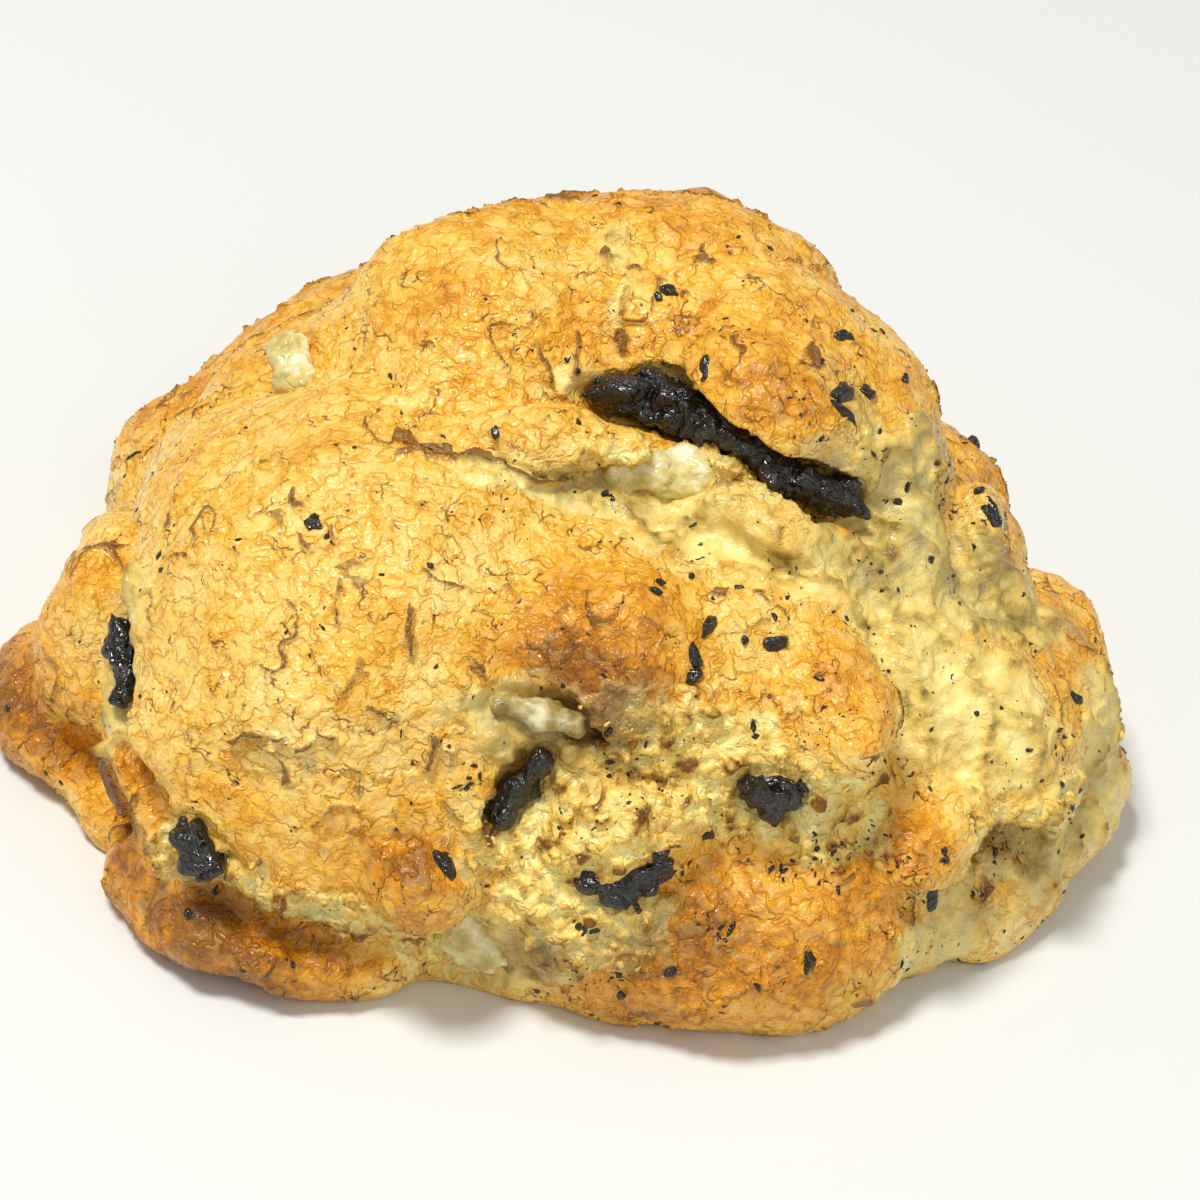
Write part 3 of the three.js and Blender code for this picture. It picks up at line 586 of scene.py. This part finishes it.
def crust_height(points):
    """Crinkles of a baked crust, larger where it swells."""
    flakes = creased(warped(points, wave=2.6, reach=0.9, seed=41), wave=3.1, seed=45, middle=0.6)
    creases = creased(warped(points, wave=1.4, reach=0.4, seed=48), wave=1.8, seed=46, middle=0.6)
    swell = smooth_noise(points, wave=5.5, seed=49)
    flake_height = CRUST["flakes"] + CRUST["swollen_flakes"] * swell
    return CRUST["swell"] * swell + flake_height * flakes + CRUST["creases"] * creases


def stretched_height(points):
    """Pale dough between torn crusts, pulled into folds that run down, with a fine grain."""
    hanging = warped(points, wave=5, reach=1.2, seed=91) * np.array([1, 1, 0.3], np.float32)
    folds = creased(hanging, wave=4.6, seed=92, middle=0.55)
    ripples = creased(warped(points, wave=2, reach=0.7, seed=95), wave=2.3, seed=93, middle=0.55)
    grain = smooth_noise(points, wave=1, seed=94)
    return STRETCH["folds"] * folds + STRETCH["ripples"] * ripples + STRETCH["grain"] * grain


def crumb_height(points):
    """Rough torn crumb, with pits."""
    pushed = warped(points, wave=2.5, reach=0.8, seed=51)
    swell = smooth_noise(pushed, wave=4.2, seed=55)
    lumps = creased(pushed, wave=2.6, seed=56, middle=0.55)
    grains = creased(warped(points, wave=1.2, reach=0.4, seed=59), wave=1.5, seed=57, middle=0.55)
    pits = ramp(0.32 - nearest_dot(pushed, wave=3, seed=58), 0, 0.2)
    return CRUMB["swell"] * swell + CRUMB["lumps"] * lumps + CRUMB["grains"] * grains - CRUMB["pits"] * pits


def crack_share(points):
    """1 in the middle of a thin crack in the crust."""
    pushed = warped(warped(points, wave=5, reach=1.4, seed=61), wave=1.2, reach=0.25, seed=64)
    coarse = ramp(0.045 - np.abs(smooth_noise(pushed, wave=8, seed=65)), 0, 0.03)
    fine = ramp(0.06 - np.abs(smooth_noise(pushed, wave=4.4, seed=66)), 0, 0.045)
    coarse_patches = ramp(smooth_noise(points, wave=7, seed=67), 0.05, 0.25)
    fine_patches = ramp(smooth_noise(points, wave=5, seed=68), 0.1, 0.3)
    return np.maximum(coarse * coarse_patches, 0.8 * fine * fine_patches)


def open_crack_share(points):
    """1 in the middle of the cracks in the list, with jagged edges."""
    jagged = warped(warped(points, wave=2.4, reach=0.5, seed=62), wave=0.9, reach=0.2, seed=63)
    share = np.zeros(len(points), np.float32)
    for _, line, half_width in CRACKS:
        share = np.maximum(share, ramp(1.25 * half_width + 0.1 - line_distance(jagged, line), 0, 0.22))
    return share


def zone_depth(points, zones):
    """1 in the middle of the zones, 0 at their edges and less outside."""
    deepest = np.full(len(points), -9, np.float32)
    for _, line, reach in zones:
        deepest = np.maximum(deepest, 1 - line_distance(points, line) / reach)
    return deepest


def raggedness(points):
    """Noise that makes the edges of the torn zones and the stains ragged."""
    coarse = smooth_noise(points, wave=6, seed=71)
    middling = smooth_noise(points, wave=2.4, seed=72)
    fine = smooth_noise(points, wave=1, seed=73)
    return 0.34 * coarse + 0.28 * middling + 0.16 * fine


def staining_and_shade(points, ragged):
    """How strongly wafer dust has stained the dough, with painted shade in places such as the drapes, from 0
    to 1.
    """
    most = np.zeros(len(points), np.float32)
    for _, line, reach, strength in STAINED_AND_SHADED:
        depth = 1 - line_distance(points, line) / reach + ragged
        most = np.maximum(most, strength * ramp(depth, -0.5, 0.7))
    return most


def dusting(points):
    """How much loose wafer dust lies on each place: most on the front right, and none at the very base."""
    x, y, z = points.T
    right = ramp(x, 5, 25) * 0.5
    front = ramp(-y, 26, 36) * (x > -8) * 1.2
    patches = ramp(smooth_noise(points, wave=5, seed=81), 0, 0.45) ** 2
    return (0.2 + right + front) * patches * (z > 1)


def lip_height(points):
    """Dough that has risen a little round each set-in piece."""
    nearest = np.full(len(points), 9, np.float32)
    for _, line, radius in WAFERS + CREAMS:
        nearest = np.minimum(nearest, np.abs(line_distance(points, line, radius)))
    return LIP["height"] * ramp(LIP["reach"] - nearest, 0, LIP["reach"])


def make_dough():
    """The dough, its points and the ways they face, and how crumbly it is at each."""
    low, high = (-62, -48, -1), (60, 54, HEIGHT + 4)  # a box with room round the dough
    points, quads = read_surface(dough_distance, low, high, DOUGH_CELL)
    normals = vertex_normals(points, quads)
    ragged = raggedness(points)
    stretched_depth = zone_depth(points, STRETCHED) + ragged
    stretched = ramp(stretched_depth, *ZONE_EDGE)
    crumbly = ramp(zone_depth(points, CRUMBLY) + ragged, *ZONE_EDGE) * (1 - 0.6 * stretched)
    stretched = stretched * (1 - crumbly)
    crusty = 1 - np.clip(stretched + crumbly, 0, 1)
    opened = open_crack_share(points)
    crack = np.maximum(crack_share(points) * crusty, opened)
    crinkled = crinkling(points, normals)
    rises = (
        crusty * crinkled * crust_height(points)
        + stretched * stretched_height(points)
        + crumbly * crumb_height(points)
    )
    height = rises - SINK["crack"] * crack - SINK["opened"] * opened
    height = height - SINK["stretched"] * stretched - SINK["crumbly"] * crumbly + lip_height(points) + PUFF
    above_base = ramp(points[:, 2], 0, 1.5)
    moved = points + normals * (height * above_base)[:, None]
    moved[:, 2] = np.maximum(moved[:, 2], 0)
    values = {
        "stretched": stretched,
        "paled": ramp(stretched_depth + 0.3 * smooth_noise(points, wave=1.3, seed=74), -0.45, 0.5),
        "crumbly": crumbly,
        "stain_and_shade": staining_and_shade(points, ragged),
        "dusty": dusting(points),
        "crack": crack,
        "rise": rises,
        "crinkled": crinkled,
        "brown_shade_sheen": browning_shade_sheen(points, normals),
    }
    return make_mesh("dough_crust", moved, quads, values), moved, vertex_normals(moved, quads), crumbly


# ---- Set-in pieces ----


def make_inset(name, line, radius, broken, seed):
    """A piece along a line: broken in chunky facets where broken is 1, smooth where it is 0."""
    full_radius = 1.8  # a thinner piece is broken less deeply
    depth = broken * min(1, np.max(radius) / full_radius)

    def field(points):
        distance = line_distance(points, line, radius) + 0.3 * unevenness(points, wave=4, seed=6)
        pushed = warped(points, wave=2, reach=0.5, seed=seed)
        chunks = np.abs(smooth_noise(pushed, wave=2.3, seed=seed + 3)) - 0.25
        grains = np.abs(smooth_noise(points, wave=0.9, seed=seed + 5)) - 0.25
        return distance - depth * (1.35 * chunks + 0.55 * grains)

    ends = np.array(line)
    margin = np.max(radius) + 1.5
    points, quads = read_surface(field, ends.min(0) - margin, ends.max(0) + margin, INSET_CELL)
    return make_mesh(name, points, quads)


def on_crust(near):
    """The nearest place on the dough's surface, and the way that the surface faces there."""
    point = np.array([near], np.float32)
    step = 0.5
    steps = [sign * step * way for way in np.eye(3, dtype=np.float32) for sign in (1, -1)]
    for _ in range(4):
        read = dough_distance(np.concatenate([point + away for away in steps]))
        slope = (read[0::2] - read[1::2]) / (2 * step)
        steepness = np.linalg.norm(slope)
        out = slope / steepness
        point = point - dough_distance(point)[0] / steepness * out
    return point[0], out


def ball(detail):
    """Points of a unit ball made of triangles, and the triangles."""
    shape = bmesh.new()
    bmesh.ops.create_icosphere(shape, subdivisions=detail, radius=1)
    points = np.array([v.co[:] for v in shape.verts], np.float32)
    faces = np.array([[v.index for v in f.verts] for f in shape.faces], np.int32)
    shape.free()
    return points, faces


def facing(out, turn):
    """Three directions: two along a surface that faces out, turned by turn, and out itself."""
    leaning = [0.31, 0.17, 0.93]  # any direction that no surface here faces
    side = np.cross(out, leaning)
    side = side / np.linalg.norm(side)
    other = np.cross(out, side)
    along = math.cos(turn) * side + math.sin(turn) * other
    across = math.cos(turn) * other - math.sin(turn) * side
    return np.stack([along, across, out])


def chipped(shape, draw, cuts=9):
    """A ball cut by flat breaks."""
    ways = draw.normal(size=(cuts, 3))
    ways = ways / np.linalg.norm(ways, axis=1, keepdims=True)
    depths = draw.uniform(0.42, 0.88, cuts)
    ahead = shape @ ways.T
    reach = np.min(np.where(ahead > 0.05, depths / np.maximum(ahead, 0.05), 1), axis=1)
    return shape * np.minimum(reach, 1)[:, None]


def make_bits(name, places, outs, radii, flatness, roughness, sink, detail, seed):
    """One mesh of many small broken bits, each pressed to the surface that it lies on."""
    draw = np.random.default_rng(seed)
    shape, faces = ball(detail)
    noise_shift = 5.3  # from each bit's noise to the next one's
    all_points, all_faces = [], []
    for index, (place, out, radius) in enumerate(zip(places, outs, radii)):
        offset = shape + noise_shift * index
        fine = smooth_noise(offset, wave=0.45, seed=seed + 1)
        lumps = 1 + roughness * (smooth_noise(offset, wave=0.9, seed=seed) + 0.5 * fine)
        stretch = np.array([draw.uniform(0.9, 1.5), draw.uniform(0.45, 0.95), flatness]) * radius
        bit = (chipped(shape, draw) * lumps[:, None] * stretch) @ facing(out, draw.uniform(0, 2 * math.pi))
        all_points.append(bit + place - sink * radius * out)
        all_faces.append(faces + index * len(shape))
    return make_mesh(name, np.concatenate(all_points), np.concatenate(all_faces))


def place_bits(name, listed, shape):
    """Bits on the crust near the places in a list."""
    places, outs = zip(*(on_crust(near) for near, _ in listed))
    return make_bits(name, places, outs, [radius for _, radius in listed], **shape)


def scatter_bits(name, weight, draw, kind, shape):
    """Bits scattered over the dough's points, more where the weight is larger."""
    count, smallest, spread, rarity = kind
    picks = draw.choice(len(dough_points), count, p=weight / weight.sum(), replace=False)
    radii = smallest + spread * draw.random(count) ** rarity
    return make_bits(name, dough_points[picks], dough_normals[picks], radii, **shape)


# ---- Materials: colours are of 0 to 255 for each channel, as a screen shows them ----

# from the palest crust to the brownest
CRUST_SHADES = [
    (0.0, (255, 235, 172)),
    (0.25, (254, 211, 112)),
    (0.5, (245, 184, 56)),
    (0.75, (216, 142, 16)),
    (1.0, (142, 84, 6)),
]
# from pits and valleys, darkened as painted shade, to raised places
CRUMB_SHADES = [(0.18, (128, 78, 14)), (0.38, (248, 206, 98)), (0.7, (255, 240, 158))]
PALE_SHADES = [(0.2, (140, 116, 52)), (0.42, (230, 200, 106)), (0.75, (252, 234, 154))]
# from the commonest shade to the rarest
WAFER_SHADES = [(0.4, (9, 7, 6)), (0.62, (20, 16, 13)), (0.85, (80, 66, 48))]
# from deep to bright
MELTED_SHADES = [(0.32, (186, 168, 92)), (0.48, (220, 206, 134)), (0.66, (246, 240, 200))]
# a darker copy of the melted cream: painted shade for the cream under the nose
SHADED_CREAM_SHADES = [(0.32, (122, 104, 48)), (0.48, (176, 158, 92)), (0.66, (228, 222, 180))]
LOOSE_SHADES = [(0.3, (206, 156, 68)), (0.5, (234, 196, 106)), (0.75, (248, 226, 156))]
FLOOR_SHADES = [(0.3, (224, 226, 224)), (0.7, (228, 230, 228))]

STROKE_BROWN_AND_SHADE = (196, 118, 12)  # browned valleys between the crust's flakes, darkened also as painted shade
# the finer creases' colour: browned, and darkened also as painted shade
CREASE_BROWN_AND_SHADE = (216, 142, 26)
PUFFED_AND_HIGHLIGHT = (255, 234, 154)  # the raised middles of flakes: paler crust with painted highlight
BROWNED_AND_SHADED_CRUMB = (120, 66, 8)  # torn dough that the oven has browned, and painted shade in the deepest hollows
# grey-olive of wafer-dust stains, which also serves as painted shade
STAIN_AND_SHADE = (112, 98, 60)
# dark brown along the cracks: browned, and the shade inside them painted
CRACK_BROWN_AND_SHADE = (110, 60, 14)
DUST = (54, 38, 24)


def linear(channel):
    """The linear value of a screen's channel."""
    if channel > 10:
        return ((channel / 255 + 0.055) / 1.055) ** 2.4
    return channel / 255 / 12.92


def colour(shade):
    """A screen's shade as the linear colour that shaders use."""
    return tuple(linear(channel) for channel in shade) + (1,)


class Nodes:
    """Builds a material's node tree with short calls. Sizes are in millimetres."""

    def __init__(self, name):
        self.material = bpy.data.materials.new(name)
        self.material.use_nodes = True
        self.tree = self.material.node_tree
        self.shader = self.tree.nodes["Principled BSDF"]
        self.place = self.tree.nodes.new("ShaderNodeTexCoord").outputs["Object"]

    def link(self, source, target):
        self.tree.links.new(source, target)

    def value(self, name):
        """A value kept on the mesh's points."""
        node = self.tree.nodes.new("ShaderNodeAttribute")
        node.attribute_name = name
        return node.outputs["Fac"]

    def texture(self, kind, size, place=None):
        node = self.tree.nodes.new(kind)
        node.inputs["Scale"].default_value = 1 / (size * MM)
        self.link(place or self.place, node.inputs["Vector"])
        return node

    def noise(self, size, detail, place=None):
        node = self.texture("ShaderNodeTexNoise", size, place)
        node.inputs["Detail"].default_value = detail
        node.inputs["Roughness"].default_value = 0.55
        return node.outputs["Fac"]

    def cells(self, size, feature, place):
        node = self.texture("ShaderNodeTexVoronoi", size, place)
        node.feature = feature
        return node.outputs["Distance"]

    def pushed(self, size, reach):
        """The place, pushed up to about reach by noise."""
        noise = self.texture("ShaderNodeTexNoise", size)
        noise.inputs["Detail"].default_value = 2
        push = self.tree.nodes.new("ShaderNodeVectorMath")
        push.operation = "MULTIPLY_ADD"
        self.link(noise.outputs["Color"], push.inputs[0])
        push.inputs[1].default_value = (4 * reach * MM,) * 3
        self.link(self.place, push.inputs[2])
        return push.outputs[0]

    def creased(self, size, place):
        """0 in sharp valleys to 1 on the flakes between them."""
        swing = self.math("ABSOLUTE", self.math("SUBTRACT", self.noise(size, 2, place), 0.5))
        return self.math("POWER", self.range(swing, 0, 0.13), 0.7)

    def math(self, kind, *sources):
        node = self.tree.nodes.new("ShaderNodeMath")
        node.operation = kind
        for socket, source in zip(node.inputs, sources):
            if isinstance(source, (int, float)):
                socket.default_value = source
            else:
                self.link(source, socket)
        return node.outputs[0]

    def times(self, product, *factors):
        for factor in factors:
            product = self.math("MULTIPLY", product, factor)
        return product

    def range(self, source, low, high, to_low=0.0, to_high=1.0):
        """A value of low to high turned to one of to_low to to_high."""
        node = self.tree.nodes.new("ShaderNodeMapRange")
        self.link(source, node.inputs["Value"])
        for key, number in zip(("From Min", "From Max", "To Min", "To Max"), (low, high, to_low, to_high)):
            node.inputs[key].default_value = number
        return node.outputs["Result"]

    def blend(self, share, first, second):
        """The first colour at a share of 0, and the second, a shade or a node's colour, at 1."""
        node = self.tree.nodes.new("ShaderNodeMix")
        node.data_type = "RGBA"
        share_socket, first_socket, second_socket = (node.inputs[index] for index in (0, 6, 7))
        self.link(share, share_socket)
        self.link(first, first_socket)
        if isinstance(second, tuple):
            second_socket.default_value = colour(second)
        else:
            self.link(second, second_socket)
        return node.outputs[2]

    def steps(self, source, shades):
        """Shades that run into each other, each at its own value of the source."""
        node = self.tree.nodes.new("ShaderNodeValToRGB")
        stops = node.color_ramp.elements
        while len(stops) < len(shades):
            stops.new(0.5)
        for stop, (position, shade) in zip(stops, shades):
            stop.position = position
            stop.color = colour(shade)
        self.link(source, node.inputs["Fac"])
        return node.outputs["Color"]

    def bump(self, *reliefs):
        """Small relief: pairs of a height and how deep it is."""
        normal = None
        for height, depth in reliefs:
            node = self.tree.nodes.new("ShaderNodeBump")
            node.inputs["Strength"].default_value = 1.0
            node.inputs["Distance"].default_value = depth * MM
            self.link(height, node.inputs["Height"])
            if normal is not None:
                self.link(normal, node.inputs["Normal"])
            normal = node.outputs["Normal"]
        self.link(normal, self.shader.inputs["Normal"])

    def finish(self, base, roughness, **fixed):
        """The material, with its base colour, its roughness and the shader's other fixed numbers."""
        self.link(base, self.shader.inputs["Base Color"])
        if isinstance(roughness, float):
            self.shader.inputs["Roughness"].default_value = roughness
        else:
            self.link(roughness, self.shader.inputs["Roughness"])
        for key, number in fixed.items():
            self.shader.inputs[key.replace("_", " ")].default_value = number
        return self.material


def crust_colour(m, flakes, creases, mottle, patches, crinkled):
    """Browned crust with darker strokes in its valleys, partly painted shade, and paler puffed flakes, partly
    painted highlight.
    """
    brown_shade_sheen = m.math("ADD", m.value("brown_shade_sheen"), m.range(mottle, 0.3, 0.7, -0.12, 0.12))
    # painted shade: browner where the relief is low and paler where it is high
    brown_shade_sheen = m.math("ADD", brown_shade_sheen, m.range(m.value("rise"), -0.3, 0.2, 0.2, -0.08))
    base = m.steps(brown_shade_sheen, CRUST_SHADES)
    strokes = m.times(m.range(flakes, 0.05, 0.4, 0.75, 0), m.range(patches, 0.42, 0.58), crinkled)
    base = m.blend(strokes, base, STROKE_BROWN_AND_SHADE)
    base = m.blend(m.times(m.range(creases, 0, 0.4, 0.34, 0), crinkled), base, CREASE_BROWN_AND_SHADE)
    puffed_highlight = m.range(m.times(flakes, mottle), 0.3, 0.6, 0, 0.5)
    return m.blend(m.times(puffed_highlight, m.range(brown_shade_sheen, 0.3, 0.8, 1, 0.3)), base, PUFFED_AND_HIGHLIGHT)


def torn_colour_and_shade(m, crumbs, low, high, darkest, shades):
    """Torn dough, darker where its relief is low than where it is high: painted shade in its pits and
    valleys.
    """
    return m.steps(m.math("ADD", crumbs, m.range(m.value("rise"), low, high, darkest, 0.14)), shades)


def dough_material():
    m = Nodes("baked_dough")
    crusty = m.math("SUBTRACT", 1, m.math("MAXIMUM", m.value("stretched"), m.value("crumbly")))
    pushed = m.pushed(1.5, 0.5)
    flakes = m.creased(2.1, pushed)
    creases = m.creased(1.2, pushed)
    mottle = m.noise(1.1, 2)
    patches = m.noise(3, 2)
    crumbs = m.noise(2.3, 3)

    base = crust_colour(m, flakes, creases, mottle, patches, m.times(m.value("crinkled"), crusty))
    base = m.blend(m.value("crumbly"), base, torn_colour_and_shade(m, crumbs, -0.55, 0.35, -0.24, CRUMB_SHADES))
    base = m.blend(m.value("paled"), base, torn_colour_and_shade(m, crumbs, -0.6, 0.4, -0.22, PALE_SHADES))
    # browned torn dough, and painted shade in the hollows that are listed as brownest
    browned_and_shaded = m.times(m.range(m.value("brown_shade_sheen"), 0.5, 1, 0, 0.85), m.math("SUBTRACT", 1, crusty))
    base = m.blend(browned_and_shaded, base, BROWNED_AND_SHADED_CRUMB)
    # wafer-dust stains and painted shade, on the crumb's paler grains
    base = m.blend(m.times(m.value("stain_and_shade"), m.range(crumbs, 0.38, 0.6)), base, STAIN_AND_SHADE)

    # cracks painted as dark lines: the shade inside them, and browning
    lines = m.range(m.cells(4.2, "DISTANCE_TO_EDGE", pushed), 0.01, 0.03, 1, 0)
    lines = m.times(lines, m.range(patches, 0.57, 0.62), crusty)
    shaded_cracks = m.math("MAXIMUM", lines, m.range(m.value("crack"), 0.4, 0.95))
    base = m.blend(m.times(shaded_cracks, 0.85), base, CRACK_BROWN_AND_SHADE)

    grains = m.range(m.cells(1.2, "F1", pushed), 0.19, 0.14)
    dusty = m.range(m.math("ADD", patches, m.range(m.value("dusty"), 0, 0.8, 0, 0.14)), 0.56, 0.62)
    base = m.blend(m.times(grains, dusty), base, DUST)

    whole = m.range(m.value("stretched"), 0, 1, 1, 0.4)
    crinkles = m.times(m.math("ADD", flakes, m.times(creases, 0.45)), whole)
    m.bump((m.noise(0.4, 1), 0.07), (crinkles, 0.17))
    return m.finish(base, m.range(mottle, 0.35, 0.7, 0.2, 0.46), Specular_IOR_Level=0.46)


def wafer_material():
    m = Nodes("dark_wafer")
    base = m.steps(m.noise(0.8, 5), WAFER_SHADES)
    m.bump((m.noise(0.35, 4), 0.05), (m.creased(1.4, m.pushed(1.2, 0.4)), 0.12))
    return m.finish(base, m.range(m.noise(1.6, 3), 0.4, 0.6, 0.1, 0.42), Specular_IOR_Level=0.8)


def cream_material(name, shades):
    m = Nodes(name)
    base = m.steps(m.noise(2.2, 4), shades)
    gloss = m.range(m.noise(1.5, 2), 0.3, 0.7, 0.12, 0.36)
    m.bump((m.noise(0.8, 3), 0.08), (m.creased(2.4, m.pushed(1.6, 0.4)), 0.1))
    return m.finish(base, gloss, Subsurface_Weight=0.2, Subsurface_Scale=0.002)


def crumb_material():
    m = Nodes("loose_crumb")
    base = m.steps(m.noise(1.6, 4), LOOSE_SHADES)
    m.bump((m.noise(0.4, 4), 0.12))
    return m.finish(base, 0.6)


def dress(piece, material):
    piece.data.materials.clear()
    piece.data.materials.append(material)
    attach(piece, "root")


# ---- The cookie ----

dough, dough_points, dough_normals, dough_crumbly = make_dough()
dress(dough, dough_material())
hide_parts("dough")

wafer_look = wafer_material()
for index, (name, line, radius) in enumerate(WAFERS):
    piece = make_inset(name + "_broken", line, radius, WAFER_BREAKS, seed=100 + 10 * index)
    dress(piece, wafer_look)
    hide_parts(name)

melted_look = cream_material("melted_cream", MELTED_SHADES)
shaded_cream_look = cream_material("shaded_cream", SHADED_CREAM_SHADES)
for index, (name, line, radius) in enumerate(CREAMS):
    piece = make_inset(name + "_melted", line, radius, CREAM_BREAKS, seed=200 + 10 * index)
    dress(piece, shaded_cream_look if name in SHADED_CREAMS else melted_look)
    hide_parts(name)

dress(place_bits("wafer_chips", CHIPS, CHIP_SHAPE), wafer_look)
dress(place_bits("wafer_bits", SPOTS, SPOT_SHAPE), wafer_look)

draw = np.random.default_rng(77)
specks = scatter_bits("wafer_specks", dusting(dough_points), draw, SPECKS, SPECK_SHAPE)
dress(specks, wafer_look)

crumb_weight = (0.01 + dough_crumbly) * (dough_points[:, 2] > 1.5)
crumbs = scatter_bits("loose_crumbs", crumb_weight, draw, LOOSE_CRUMBS, LOOSE_SHAPE)
dress(crumbs, crumb_material())


# ---- Floor, light and camera: lengths in metres, angles in degrees ----

FLOOR_SIZE = 6
ELEVATION = 40
ROLL = 6.5
DISTANCE = 0.33
PHOTO_WIDTH = 1200  # pixels
PIXELS_PER_MM = 10.4
AIM = (2.2, 0, 17)  # what the camera looks at, in the lists' coordinates
SENSOR_WIDTH = 36

# name, place, width, power and colour
LAMPS = [
    ("key", (-0.24, -0.1, 0.9), 0.2, 7.2, (1, 0.985, 0.95)),
    ("fill", (0.4, -0.4, 0.5), 0.5, 0.9, (0.97, 0.99, 1)),
]
LAMP_AIM = (0, 0, 0.02)
WORLD_COLOUR = (1, 0.99, 0.965, 1)
WORLD_STRENGTH = 0.4


def make_floor():
    bpy.ops.mesh.primitive_plane_add(size=FLOOR_SIZE)
    floor = bpy.context.object
    floor.name = "floor"
    m = Nodes("pale_floor")
    base = m.steps(m.noise(300, 2), FLOOR_SHADES)
    floor.data.materials.append(m.finish(base, 0.7))


def make_lamp(name, place, width, power, shade):
    light = bpy.data.lights.new(name, "AREA")
    light.size = width
    light.energy = power
    light.color = shade
    lamp = bpy.data.objects.new(name, light)
    bpy.context.scene.collection.objects.link(lamp)
    lamp.location = place
    lamp.rotation_mode = "QUATERNION"
    lamp.rotation_quaternion = (Vector(LAMP_AIM) - Vector(place)).to_track_quat("-Z", "Y")


def make_camera():
    elevation = math.radians(ELEVATION)
    roll = math.radians(ROLL)
    target = Vector((np.array(AIM) - MIDDLE) * MM)
    ahead = Vector((0, math.cos(elevation), -math.sin(elevation)))
    right = Vector((1, 0, 0))
    up = Vector((0, math.sin(elevation), math.cos(elevation)))
    camera_right = right * math.cos(roll) + up * math.sin(roll)
    camera_up = up * math.cos(roll) - right * math.sin(roll)
    data = bpy.data.cameras.new("camera")
    data.sensor_width = SENSOR_WIDTH
    view_width = PHOTO_WIDTH / PIXELS_PER_MM * MM  # at the target
    data.lens = SENSOR_WIDTH * DISTANCE / view_width
    camera = bpy.data.objects.new("camera", data)
    bpy.context.scene.collection.objects.link(camera)
    turn = Matrix((camera_right, camera_up, -ahead)).transposed()
    camera.matrix_world = Matrix.Translation(target - ahead * DISTANCE) @ turn.to_4x4()
    bpy.context.scene.camera = camera


def make_world():
    world = bpy.data.worlds.new("soft_studio")
    world.use_nodes = True
    background = world.node_tree.nodes["Background"]
    background.inputs["Color"].default_value = WORLD_COLOUR
    background.inputs["Strength"].default_value = WORLD_STRENGTH
    bpy.context.scene.world = world


make_floor()
make_world()
make_camera()
for lamp in LAMPS:
    make_lamp(*lamp)
bpy.context.scene.view_settings.view_transform = "Standard"
